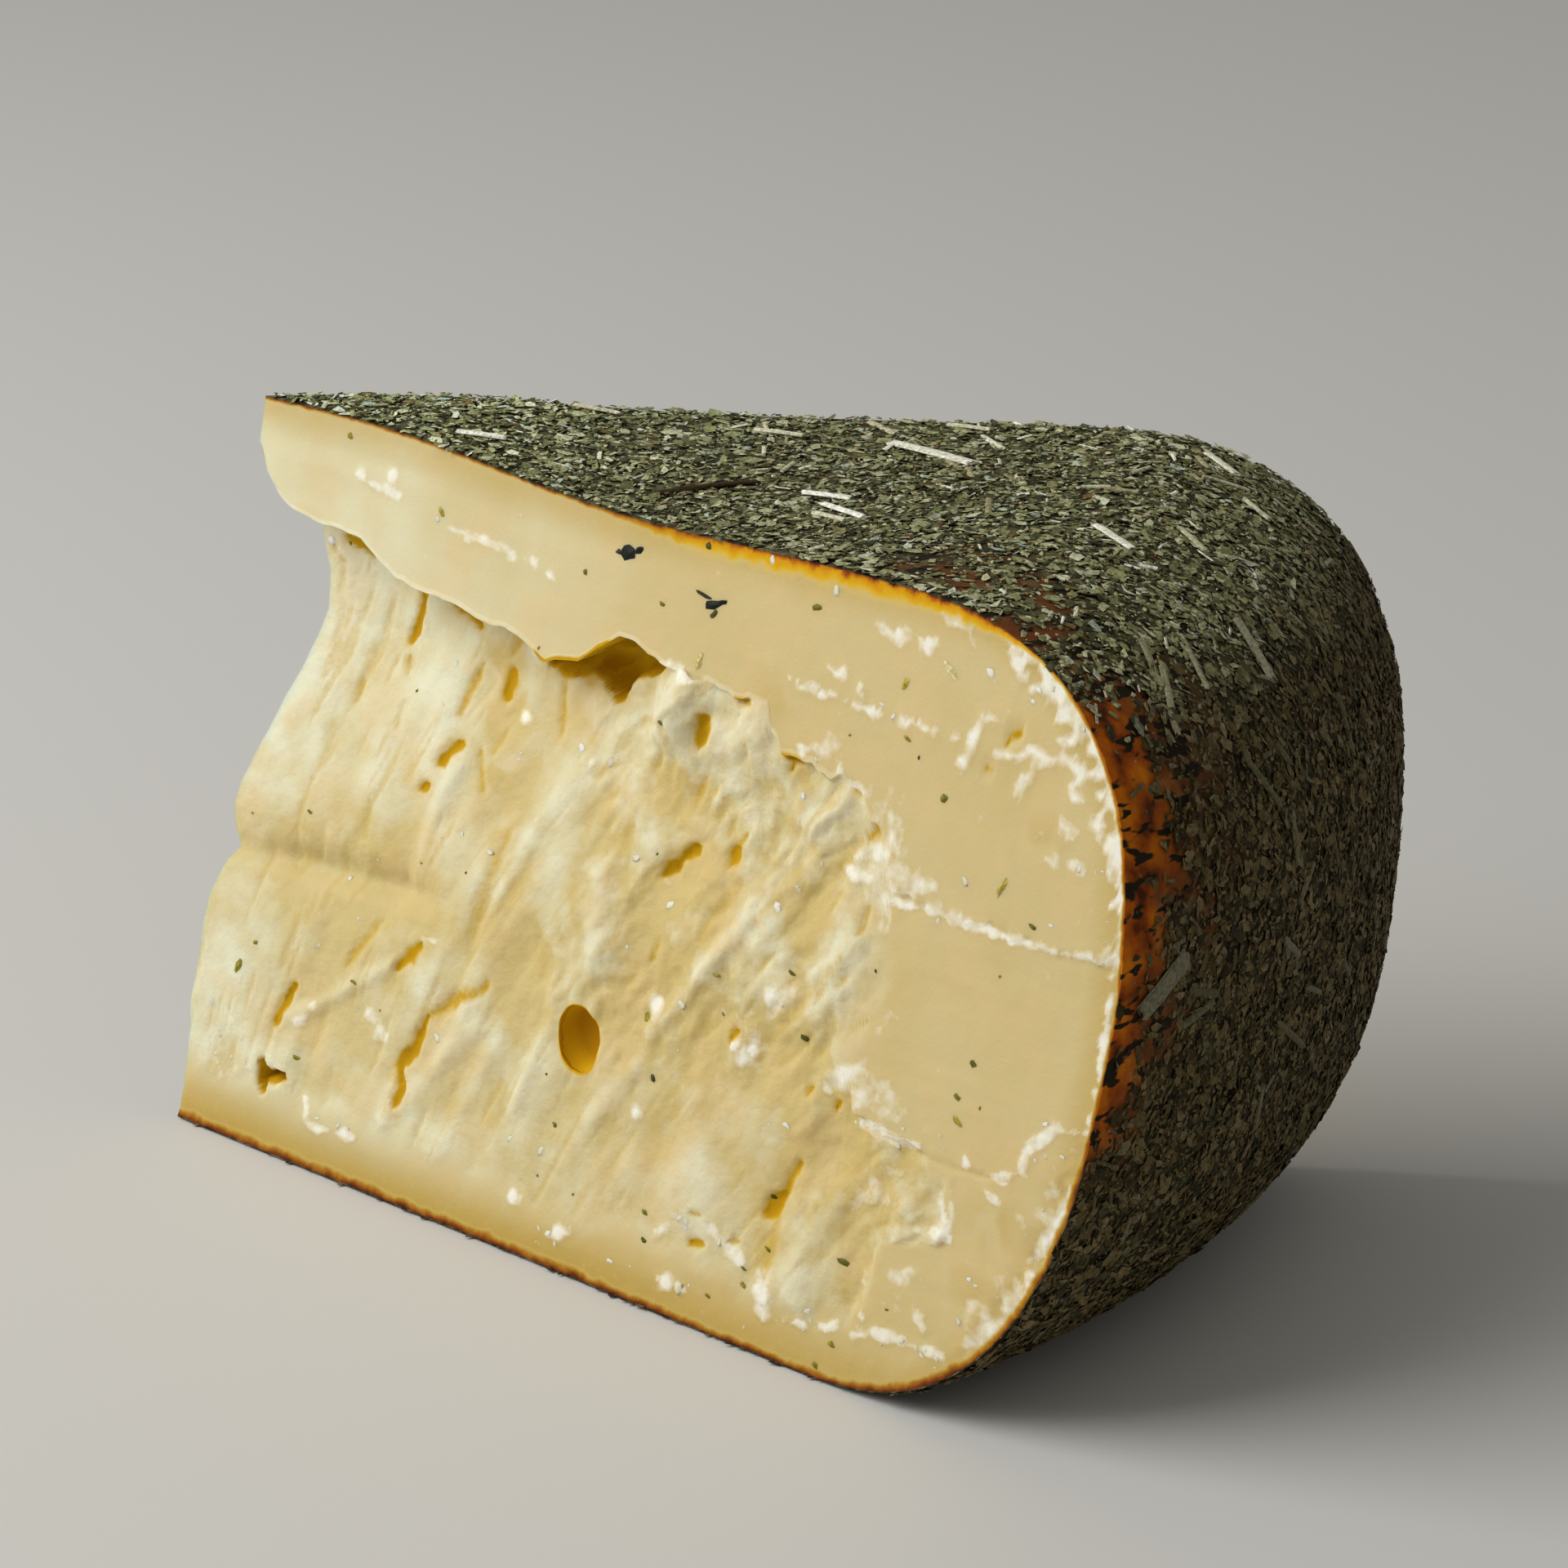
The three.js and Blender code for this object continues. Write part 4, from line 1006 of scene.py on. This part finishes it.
leafWetShade, strawWetShade = "#968070", "#8f8b7c"  # the coat on the heel is browner, and darker as painted shade; on the top it is lighter towards the tip as painted light
strawTones = [(0, "#35290c"), (0.2, "#6f6238"), (0.5, "#a8a27a"), (0.8, "#dcd9bc"), (1, "#f6f6e8")]
coat = {
    "seed": 5, "steepest": 0.55, "clump": (7, 0.25), "overCut": 0.15,
    "offBare": 0.96, "offRuddy": 0.7,  # the share of flakes that is gone where the rind is bare or ruddy
    # painted shade: the coat is darker on the heel and away from the tip along the top; on the heel it is
    # also browner, being damp
    "dampAndShade": {"below": (78, 96), "onTop": 0.35, "topFrom": (15, 60)},  # heights on the heel, and x on the top
    # a piece that is damp and in painted shade takes the darker colour wet, from the least share of damp on
    "leafDark": {
        "count": 19500, "length": (0.7, 2.3), "narrow": (0.35, 0.8), "thick": 0.14, "lift": (-0.1, 0.2),
        "jitter": 0.2, "bend": 0.25, "roughness": 0.75, "wetShade": leafWetShade, "least": 0,
        "tones": [(0, "#343524"), (0.4, "#55583a"), (0.6, "#666949"), (0.92, "#8f8b5c"), (1, "#7d4725")],
    },
    "leafOlive": {
        "count": 19500, "length": (0.7, 2.5), "narrow": (0.3, 0.75), "thick": 0.12, "lift": (0, 0.3),
        "jitter": 0.2, "bend": 0.35, "roughness": 0.7, "wetShade": leafWetShade, "least": 0,
        "tones": [(0, "#6a6d41"), (0.35, "#9b9e69"), (0.62, "#b8bd8e"), (0.9, "#e8ecca"), (1, "#bfd5ca")],
    },
    "crumb": {
        "count": 24000, "length": (0.35, 1.1), "narrow": (0.5, 0.9), "thick": 0.14, "lift": (0.05, 0.35),
        "jitter": 0.15, "bend": 0.1, "roughness": 0.8, "wetShade": leafWetShade, "least": 0,
        "tones": [(0, "#383a22"), (0.4, "#777a50"), (0.75, "#b8b98a"), (0.95, "#ece9be"), (1, "#97552a")],
    },
    "straw": {
        "count": 800, "length": (1, 3), "narrow": (0.16, 0.34), "thick": 0.22, "lift": (0.1, 0.35),
        "jitter": 0.08, "bend": 0.1, "roughness": 0.6, "wetShade": strawWetShade, "least": 0.35, "tones": strawTones,
    },
    "stalk": {
        "count": 90, "length": (2.4, 7), "narrow": (0.12, 0.24), "thick": 0.5, "lift": (0.1, 0.3),
        "jitter": 0.05, "roughness": 0.55, "wetShade": strawWetShade, "least": 0.35, "tones": strawTones,
    },
}

# stalks that show in the photograph: both ends in its pixels, the width, and pale (1) or dark (0)
shownStalks = [
    ((560, 532), (618, 540), 1.2, 0.95), ((985, 607), (1040, 614), 1.3, 1),
    ((1008, 621), (1057, 637), 1.2, 1), ((997, 632), (1034, 641), 1, 0.8),
    ((1094, 546), (1188, 570), 2.1, 0.9), ((705, 500), (758, 510), 0.9, 0.75),
    ((925, 530), (983, 537), 1, 0.8), ((1161, 524), (1212, 530), 1, 0.8),
    ((1342, 648), (1385, 675), 1.3, 0.9), ((1478, 560), (1512, 584), 1.5, 0.85),
    ((1522, 615), (1552, 640), 1, 0.75), ((800, 608), (925, 592), 1.2, 0),
    ((1511, 761), (1555, 832), 1.9, 0.8), ((1395, 789), (1440, 897), 1.1, 0.55),
    ((1420, 820), (1432, 868), 1.1, 0.6), ((1634, 850), (1653, 924), 1.1, 0.6),
    ((1519, 925), (1563, 985), 1, 0.6), ((1395, 1241), (1451, 1171), 2.7, 1),
    ((1558, 911), (1575, 935), 1.1, 0.5), ((1612, 895), (1625, 912), 1.1, 0.6),
    ((1651, 756), (1667, 781), 0.9, 0.5), ((1574, 767), (1591, 784), 0.9, 0.5),
    ((1560, 1250), (1592, 1280), 1, 0.5),
]


def flakeShape(corners):  # a leaf flake, modelled flat with a raised middle
    bpy.ops.mesh.primitive_cone_add(
        vertices=corners, radius1=0.5, depth=0.5, location=(0, 0, 0.25), end_fill_type="NOTHING")
    flake = applyPlace(bpy.context.object)
    mirror = flake.modifiers.new("underside", "MIRROR")
    mirror.use_axis = (False, False, True)
    bpy.ops.object.modifier_apply(modifier=mirror.name)
    finishNormals()
    return flake


def stalkShape(sides, lengths):  # a split stalk along X
    bpy.ops.mesh.primitive_cylinder_add(vertices=sides, radius=0.5, depth=1, rotation=(0, math.pi / 2, 0))
    stalk = applyPlace(bpy.context.object)
    if lengths > 1:
        bpy.ops.object.mode_set(mode="EDIT")
        bpy.ops.mesh.select_all(action="DESELECT")
        bpy.ops.object.mode_set(mode="OBJECT")
        for edge in stalk.data.edges:
            a, b = (stalk.data.vertices[k].co for k in edge.vertices)
            edge.select = abs(a.x - b.x) > 0.5
        bpy.ops.object.mode_set(mode="EDIT")
        bpy.ops.mesh.subdivide(number_cuts=lengths - 1)
        bpy.ops.object.mode_set(mode="OBJECT")
    return stalk


def rindNormal(share, turn):
    step = 1e-3
    down = rindPoint(share + step, turn) - rindPoint(share - step, turn)
    sideways = rindPoint(share, turn + step) - rindPoint(share, turn - step)
    out = np.cross(down, sideways)
    return out / np.linalg.norm(out, axis=-1, keepdims=True)


def rindPlaces(rng, count):  # spread evenly over the rind, fewer where it is bare
    profile = np.linspace(0.002, 0.998, 500)
    radius, z = profileAt(profile)
    ring = radius * np.hypot(np.gradient(radius), np.gradient(z))
    tries = 6 * count
    found = []
    while sum(len(f[0]) for f in found) < count:
        share = np.interp(rng.random(tries), np.cumsum(ring) / ring.sum(), profile)
        turn = rng.uniform(-math.pi, math.pi, tries)
        x, y, z = rindPoint(share, turn).T
        front, back = cutDistances(x, y, z)
        thinned = np.maximum(coat["offBare"] * bareShare(x, y, z), coat["offRuddy"] * ruddyShare(x, y, z))
        keep = (front > coat["overCut"]) & (back > coat["overCut"]) & (rng.random(tries) > thinned)
        found.append((share[keep], turn[keep]))
    return [np.concatenate(part)[:count] for part in zip(*found)]


def lyingAxes(out, angle, tilt):  # columns: along the piece, across it, out of the rind
    side = np.cross(out, np.array((0.3, -0.2, 0.93)))
    side /= np.linalg.norm(side, axis=-1, keepdims=True)
    front = np.cross(out, side)
    length = np.cos(angle)[:, None] * side + np.sin(angle)[:, None] * front
    across = np.cross(out, length)
    up = out * np.cos(tilt)[:, None] + across * np.sin(tilt)[:, None]
    return np.stack([length, np.cross(up, length), up], -1)


def dampAndShadeShare(places):  # damp and painted shade: 1 on the heel, less on the top, 0 at the tip, which is painted lit
    dampAndShade = coat["dampAndShade"]
    onTop = dampAndShade["onTop"] * smooth(places[:, 0], *dampAndShade["topFrom"])
    return np.maximum(1 - smooth(places[:, 2], *dampAndShade["below"]), onTop)


def joinCopies(name, shape, places, axes, sizes, bends, jitter, tints, rng):
    base = readPoints(shape)
    copies = np.repeat(base[None], len(places), 0)
    copies[:, :, :2] += rng.uniform(-jitter, jitter, copies[:, :, :2].shape)
    copies = copies * sizes[:, None]
    copies[:, :, 2] += bends[:, None] * copies[:, :, 0] ** 2
    points = places[:, None] + np.einsum("nij,nkj->nki", axes, copies)
    points[:, :, 2] = np.maximum(points[:, :, 2], 0.01)  # nothing sinks into the floor
    faces = [tuple(p.vertices) for p in shape.data.polygons]
    size = len(base)
    joined = [tuple(v + k * size for v in face) for k in range(len(places)) for face in faces]
    mesh = bpy.data.meshes.new(name)
    mesh.from_pydata(toFrame(points.reshape(-1, 3)).tolist(), [], joined)
    made = bpy.data.objects.new(name, mesh)
    bpy.context.collection.objects.link(made)
    storeValues(made, "tint", np.repeat(tints, size))
    # painted shade together with damp, read by the material
    storeValues(made, "dampAndShade", np.repeat(dampAndShadeShare(places) * (name != "herb_specks"), size))
    bpy.data.objects.remove(shape)
    return made


def scatter(name, shape, kind):
    rng = np.random.default_rng(coat["seed"] + len(name))
    count, bend, steepest = kind["count"], kind["bend"], coat["steepest"]
    share, turn = rindPlaces(rng, count)
    out = rindNormal(share, turn)
    shortest, longest = kind["length"]
    lengths = shortest + (longest - shortest) * rng.random(count) ** 1.7
    widths = lengths * rng.uniform(*kind["narrow"], count)
    sizes = np.stack([lengths, widths, np.full(count, kind["thick"])], -1)
    places = rindPoint(share, turn)
    clump, height = coat["clump"]
    heaped = height * (swell(places[:, 0] / clump + places[:, 2] / clump, places[:, 1] / clump) - 0.3)
    pressed = smooth(places[:, 2], 0.5, 3)  # the coat is pressed flat under the wheel
    lift = (rng.uniform(*kind["lift"], count) + heaped) * pressed - 0.1 * (1 - pressed)
    tilt = np.clip(rng.normal(0, 0.5 * steepest, count), -steepest, steepest) * pressed
    axes = lyingAxes(out, rng.uniform(0, 2 * math.pi, count), tilt)
    bends = rng.uniform(-bend, bend, count) / lengths
    places = places + out * lift[:, None]
    return joinCopies(name, shape, places, axes, sizes, bends, kind["jitter"], rng.random(count), rng)


# Dried chopped lovage: matt leaf, from black green to grey green, and straw coloured stalk; browner on the
# heel, and darker there as painted shade.
def herbMaterial(name, look):
    made, tree, shader = newMaterial(name)
    tones = look["tones"]
    tint = add(tree, "Attribute", {}, out="Fac", attribute_name="tint")
    dampAndShade = add(tree, "Attribute", {}, out="Fac", attribute_name="dampAndShade")
    place = add(tree, "TexCoord", {}, out="Object")
    veins = add(tree, "TexNoise", {"Vector": place, "Scale": 1 / (0.5 * mm), "Detail": 2})
    dampAndShade = add(tree, "MapRange", {"Value": dampAndShade, "From Min": look["least"]})
    tone = add(tree, "ValToRGB", {0: tint}, ramp=tones)
    even = add(tree, "Math", {0: dampAndShade, 1: 0.5}, operation="MULTIPLY")  # flakes in painted shade differ less
    tone = add(tree, "Mix", {0: even, 6: tone, 7: tones[len(tones) // 2][1]}, 2, data_type="RGBA")
    light = add(tree, "MapRange", {
        "Value": veins, "From Min": 0.3, "From Max": 0.7, "To Min": 0.6, "To Max": 1.3})
    grey = add(tree, "CombineColor", {0: light, 1: light, 2: light})
    # random light and dark veins, then the damp brown and the painted shade
    for share, shade in ((1.0, grey), (dampAndShade, look["wetShade"])):
        tone = add(tree, "Mix", {0: share, 6: tone, 7: shade}, 2, data_type="RGBA", blend_type="MULTIPLY")
    tree.links.new(tone, shader.inputs["Base Color"])
    setShader(shader, {"Roughness": look["roughness"], "Specular IOR Level": 0.15})
    return made


def addStalks():  # the stalks that the photograph shows, then others all round
    kind = coat["stalk"]
    count = kind["count"]
    rng = np.random.default_rng(coat["seed"])
    share, turn = rindPlaces(rng, count)
    out = rindNormal(share, turn)
    lengths = rng.uniform(*kind["length"], count)
    lift = rng.uniform(*kind["lift"], count)
    places = rindPoint(share, turn) + out * lift[:, None]
    axes = lyingAxes(out, rng.uniform(0, 2 * math.pi, count), np.zeros(count))
    widths = lengths * rng.uniform(*kind["narrow"], count)
    tints = rng.uniform(0.25, 0.9, count)
    keep = places[:, 2] > 3
    shown = []
    for start, end, width, tint in shownStalks:
        (first, firstOut), (last, lastOut) = landing(*pixelRay(*start)), landing(*pixelRay(*end))
        up = firstOut + lastOut
        up /= np.linalg.norm(up)
        length = last - first
        reach = np.linalg.norm(length)
        length = length - up * np.dot(length, up)
        length /= np.linalg.norm(length)
        lying = np.stack([length, np.cross(up, length), up], -1)
        shown.append(((first + last) / 2 + up * 0.5, lying, reach, width, tint))
    others = (places, axes, lengths, widths, tints)
    both = [np.concatenate([other[keep], found]) for other, found in zip(others, zip(*shown))]
    places, axes, lengths, widths, tints = both
    sizes = np.stack([lengths, widths, np.minimum(kind["thick"], widths)], -1)
    bends = np.full(len(lengths), -0.5 / wheel["radius"]) + rng.uniform(-0.003, 0.003, len(lengths))
    shape = stalkShape(8, 5)
    return joinCopies("herb_stalks", shape, places, axes, sizes, bends, kind["jitter"], tints, rng)


leafDark = scatter("herb_leaf_dark", flakeShape(5), coat["leafDark"])
leafOlive = scatter("herb_leaf_olive", flakeShape(5), coat["leafOlive"])
leafCrumb = scatter("herb_leaf_crumb", flakeShape(4), coat["crumb"])
straw = scatter("herb_straw", stalkShape(5, 1), coat["straw"])
stalks = addStalks()
leafDark.data.materials.append(herbMaterial("dried lovage leaf, dark", coat["leafDark"]))
leafOlive.data.materials.append(herbMaterial("dried lovage leaf, olive", coat["leafOlive"]))
leafCrumb.data.materials.append(herbMaterial("dried lovage leaf, rubbed fine", coat["crumb"]))
straw.data.materials.append(herbMaterial("dried lovage straw", coat["straw"]))
stalks.data.materials.append(herbMaterial("dried lovage stalk, split", coat["stalk"]))
print("coat is on")


# what is in the paste: specks of herb, and white crumbs and crystals

speckLook = {
    "tones": [
        (0, "#14180e"), (0.1, "#30331a"), (0.16, "#44461a"), (0.34, "#6e681a"), (0.6, "#928622"),
        (0.82, "#b8a03c"), (1, "#dccd92"),
    ],
    "roughness": 0.5, "wetShade": leafWetShade, "least": 0, "thick": 0.5, "jitter": 0.14, "finest": 18,
}
crumbLook = {
    "tones": [(0, "#e0d6b2"), (0.6, "#eae2c6"), (1, "#f0ebdc")], "grain": 0.4, "jitter": 0.1, "behind": 90,
    "shader": {
        "Roughness": 0.5, "Subsurface Weight": 0.3, "Subsurface Radius": (1, 0.8, 0.5),
        "Subsurface Scale": 1 * mm,
    },
}

# herb where it shows on the flat of the cut: x, z, length, width, turn in degrees, dark (0) or straw (1)
herbSpecks = [
    (59.8, 88.9, 3.2, 2, -40, 0), (61.6, 89.5, 1.5, 1, -60, 0), (58.2, 88.6, 1.3, 0.7, -20, 0.05),
    (75.4, 85.7, 3, 1.3, -32, 0), (73.9, 86.5, 2.8, 0.6, -8, 0.1), (76.9, 86.3, 1.5, 0.7, -40, 0),
    (75.9, 84.7, 1.7, 0.8, -70, 0.2), (26, 87, 1.6, 0.9, 30, 0.7), (53, 85, 1, 0.8, 0, 0.4),
    (67, 84, 1, 0.6, 0, 0.4), (73, 92.4, 1.2, 1, 0, 0.2), (92.5, 89, 1.5, 0.8, -30, 0.4),
    (7, 93, 1.3, 0.9, 0, 0.5), (115, 86.5, 3.2, 0.9, 12, 1), (108.5, 83.3, 1.9, 1, 85, 0.8),
    (110.4, 77.2, 1.3, 0.5, 0, 0.6), (117.7, 71.7, 1.3, 1.1, 0, 0.4), (129, 64, 2.6, 1.1, 88, 0.85),
    (134.7, 60.6, 1.4, 0.6, 0, 0.3), (129.5, 43, 1.2, 0.8, 0, 0.3), (128, 38.6, 1.2, 0.7, 0, 0.4),
    (128.6, 36, 2, 0.8, 8, 0.7), (102.8, 39, 1.3, 0.9, 0, 0.2), (76.5, 34.8, 1.8, 1.2, 10, 0.6),
    (79.2, 27.8, 1.1, 0.8, 0, 0.2), (64, 17.8, 0.9, 0.6, 0, 0.4), (2.3, 22.5, 2.2, 1.2, 80, 0.6),
    (4.8, 26, 0.9, 0.6, 0, 0.5), (24.3, 25.7, 1.2, 0.5, 0, 0.5), (16, 13.6, 1.5, 0.6, -10, 0.5),
    (11, 44.8, 1.2, 0.5, 0, 0.5), (70, 70, 1.1, 0.8, 0, 0.4), (74.8, 78.4, 2.4, 1, 88, 0.9),
    (86.8, 42.6, 1.2, 0.5, 0, 0.7), (98.8, 46, 1.3, 0.5, 0, 0.3), (81.8, 11.6, 1.1, 0.6, 0, 0.3),
    (82.4, 8.3, 1.1, 0.6, 0, 0.3), (94.5, 4.8, 1, 0.6, 0, 0.5), (100, 7.7, 1.3, 0.7, 0, 0.6),
    (99.5, 9.7, 1, 0.5, 0, 0.4), (102.2, 19.4, 1.3, 0.7, 10, 0.2), (103, 13, 1.3, 0.6, 0, 0.4),
    (115.3, 15, 1.9, 0.9, -10, 0.3), (115.5, 5, 1.3, 0.8, 0, 0.6), (113.6, 1.9, 1.3, 0.7, 0, 0.5),
]

# where small crumbs lie thickest: x from and to, z from and to, and how many
crumbZones = [
    (136, 147, 60, 88, 16), (127, 137, 84, 91, 8), (141, 147, 20, 40, 12), (134, 144, 11, 20, 16),
    (119, 133, 7, 9.6, 8), (100, 117, 5, 8, 10), (84, 98, 10.4, 13.6, 16), (21, 30, 5.6, 8, 5),
    (0, 14, 7.6, 14, 8), (60, 110, 2.6, 5.6, 8), (0, 110, 10, 74, 44), (110, 128, 30, 34, 8),
    (112, 148, 57.6, 59.6, 8), (88, 120, 78.6, 80.6, 6), (20, 56, 84, 90, 6),
]


def landed(listed):  # of a list of rays with sizes, those that meet the paste: places, ways out, the rest
    kept = []
    for ray, *rest in listed:
        place, normal = surface.ray_cast(*ray)[:2]
        if place is None:
            continue
        x, y, z = toWheel(place)
        inPit = allPits(x, z) >= 0.3
        isCrumb = len(rest) == 1  # a crumb doesn't lie in a pit
        if rindDepth(x, y, z) > 0.8 and not (inPit and isCrumb):
            kept.append((toWheel(place), np.array(normal), rest))
    return [np.array(part) for part in zip(*kept)]


def addSpecks():
    rng = np.random.default_rng(coat["seed"])
    listed = [(flatRay(x, z), *rest) for x, z, *rest in herbSpecks]
    for k in range(speckLook["finest"]):  # the finest on the front cut, and others on the back cut
        fine = flatRay(rng.uniform(0, 140), rng.uniform(6, 92))
        listed.append((fine, rng.uniform(0.4, 0.7), 0.35, rng.uniform(0, 180), rng.uniform(0.3, 0.9)))
        behind = backRay(rng.uniform(8, 138), rng.uniform(6, 90))
        size = rng.uniform(0.6, 2.7), rng.uniform(0.5, 1.2)
        listed.append((behind, *size, rng.uniform(0, 180), rng.random()))
    places, out, given = landed(listed)
    lengths, widths, turns, tints = given.T
    count = len(places)
    bends = np.zeros(count)
    sizes = np.stack([lengths, np.minimum(widths, lengths), np.full(count, speckLook["thick"])], -1)
    axes = lyingAxes(out, -np.radians(turns), bends)
    shape = flakeShape(8)
    return joinCopies("herb_specks", shape, places, axes, sizes, bends, speckLook["jitter"], tints, rng)


def addCrumbs():
    rng = np.random.default_rng(coat["seed"] + 1)
    listed = [(flatRay(x, z), length) for x, z, length in crystals if length < meshedCrystal]
    for x0, x1, z0, z1, count in crumbZones:
        for k in range(count):
            ray = flatRay(rng.uniform(x0, x1), rng.uniform(z0, z1))
            listed.append((ray, 0.25 + 0.8 * rng.random() ** 2.6))
    for k in range(crumbLook["behind"]):
        ray = backRay(rng.uniform(4, 140), rng.uniform(3, 92))
        listed.append((ray, 0.3 + 1.4 * rng.random() ** 3))
    places, out, lengths = landed(listed)
    count = len(places)
    widths, heights = rng.uniform(0.5, 0.95, count), rng.uniform(0.1, 0.16, count)
    sizes = lengths * np.stack([np.ones(count), widths, heights], -1)
    places = places - 0.2 * out * sizes[:, 2:]
    axes = lyingAxes(out, rng.uniform(0, math.pi, count), rng.normal(0, 0.08, count))
    bpy.ops.mesh.primitive_ico_sphere_add(subdivisions=2, radius=0.5)
    crumb = bpy.context.object
    ball = readPoints(crumb)
    lumps = swell(ball[:, 0] * 5 + 9, ball[:, 1] * 5 + ball[:, 2] * 4)
    movePoints(crumb, ball * (0.75 + 0.5 * lumps)[:, None])
    bends, jitter = np.zeros(count), crumbLook["jitter"]
    made = joinCopies("white_crumbs", crumb, places, axes, sizes, bends, jitter, rng.random(count), rng)
    made.select_set(True)
    bpy.context.view_layer.objects.active = made
    bpy.ops.object.shade_smooth()
    bpy.ops.object.select_all(action="DESELECT")
    return made


# Dry crumbs and ripening crystals: white, matt at the edge and a little translucent.
def crumbMaterial():
    made, tree, shader = newMaterial("dry cheese crumb and crystal")
    tint = add(tree, "Attribute", {}, out="Fac", attribute_name="tint")
    place = add(tree, "TexCoord", {}, out="Object")
    grain = add(tree, "TexNoise", {"Vector": place, "Scale": 1 / (crumbLook["grain"] * mm), "Detail": 3})
    tone = add(tree, "ValToRGB", {0: tint}, ramp=crumbLook["tones"])
    tree.links.new(tone, shader.inputs["Base Color"])
    bump = add(tree, "Bump", {"Height": grain, "Strength": 0.5, "Distance": 0.1 * mm})
    tree.links.new(bump, shader.inputs["Normal"])
    setShader(shader, crumbLook["shader"])
    return made


specks = addSpecks()
crumbs = addCrumbs()
specks.data.materials.append(herbMaterial("lovage leaf in the paste", speckLook))
crumbs.data.materials.append(crumbMaterial())
print("specks and crumbs are in")


# floor and lights

studio = {
    "floor": "#cfcdc8", "floorSize": 6, "sky": "#e6e4df", "skyLight": 0.35,
    "key": {"place": (-0.6, -0.75, 0.85), "target": (0, 0, 0.045), "size": 1.1, "watts": 16},
}


def addFloor():
    bpy.ops.mesh.primitive_plane_add(size=studio["floorSize"])
    floor = bpy.context.object
    floor.name = "floor"
    made, _, shader = newMaterial("pale painted floor")
    setShader(shader, {"Base Color": linear(studio["floor"]), "Roughness": 0.7})
    floor.data.materials.append(made)


def addLight(name):
    given = studio[name]
    bpy.ops.object.light_add(type="AREA", location=given["place"])
    lamp = bpy.context.object
    lamp.name = name
    towards = Vector(given["target"]) - Vector(given["place"])
    lamp.rotation_euler = towards.to_track_quat("-Z", "Y").to_euler()
    lamp.data.size = given["size"]
    lamp.data.energy = given["watts"]


def addWorld():
    world = bpy.data.worlds.new("studio")
    world.use_nodes = True
    background = world.node_tree.nodes["Background"]
    background.inputs[0].default_value = linear(studio["sky"])
    background.inputs[1].default_value = studio["skyLight"]
    bpy.context.scene.world = world


addFloor()
addLight("key")
addWorld()
print("floor and lights are in")

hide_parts(cheeseNode)
for piece in (body, leafDark, leafOlive, leafCrumb, straw, stalks, specks, crumbs):
    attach(piece, "root")
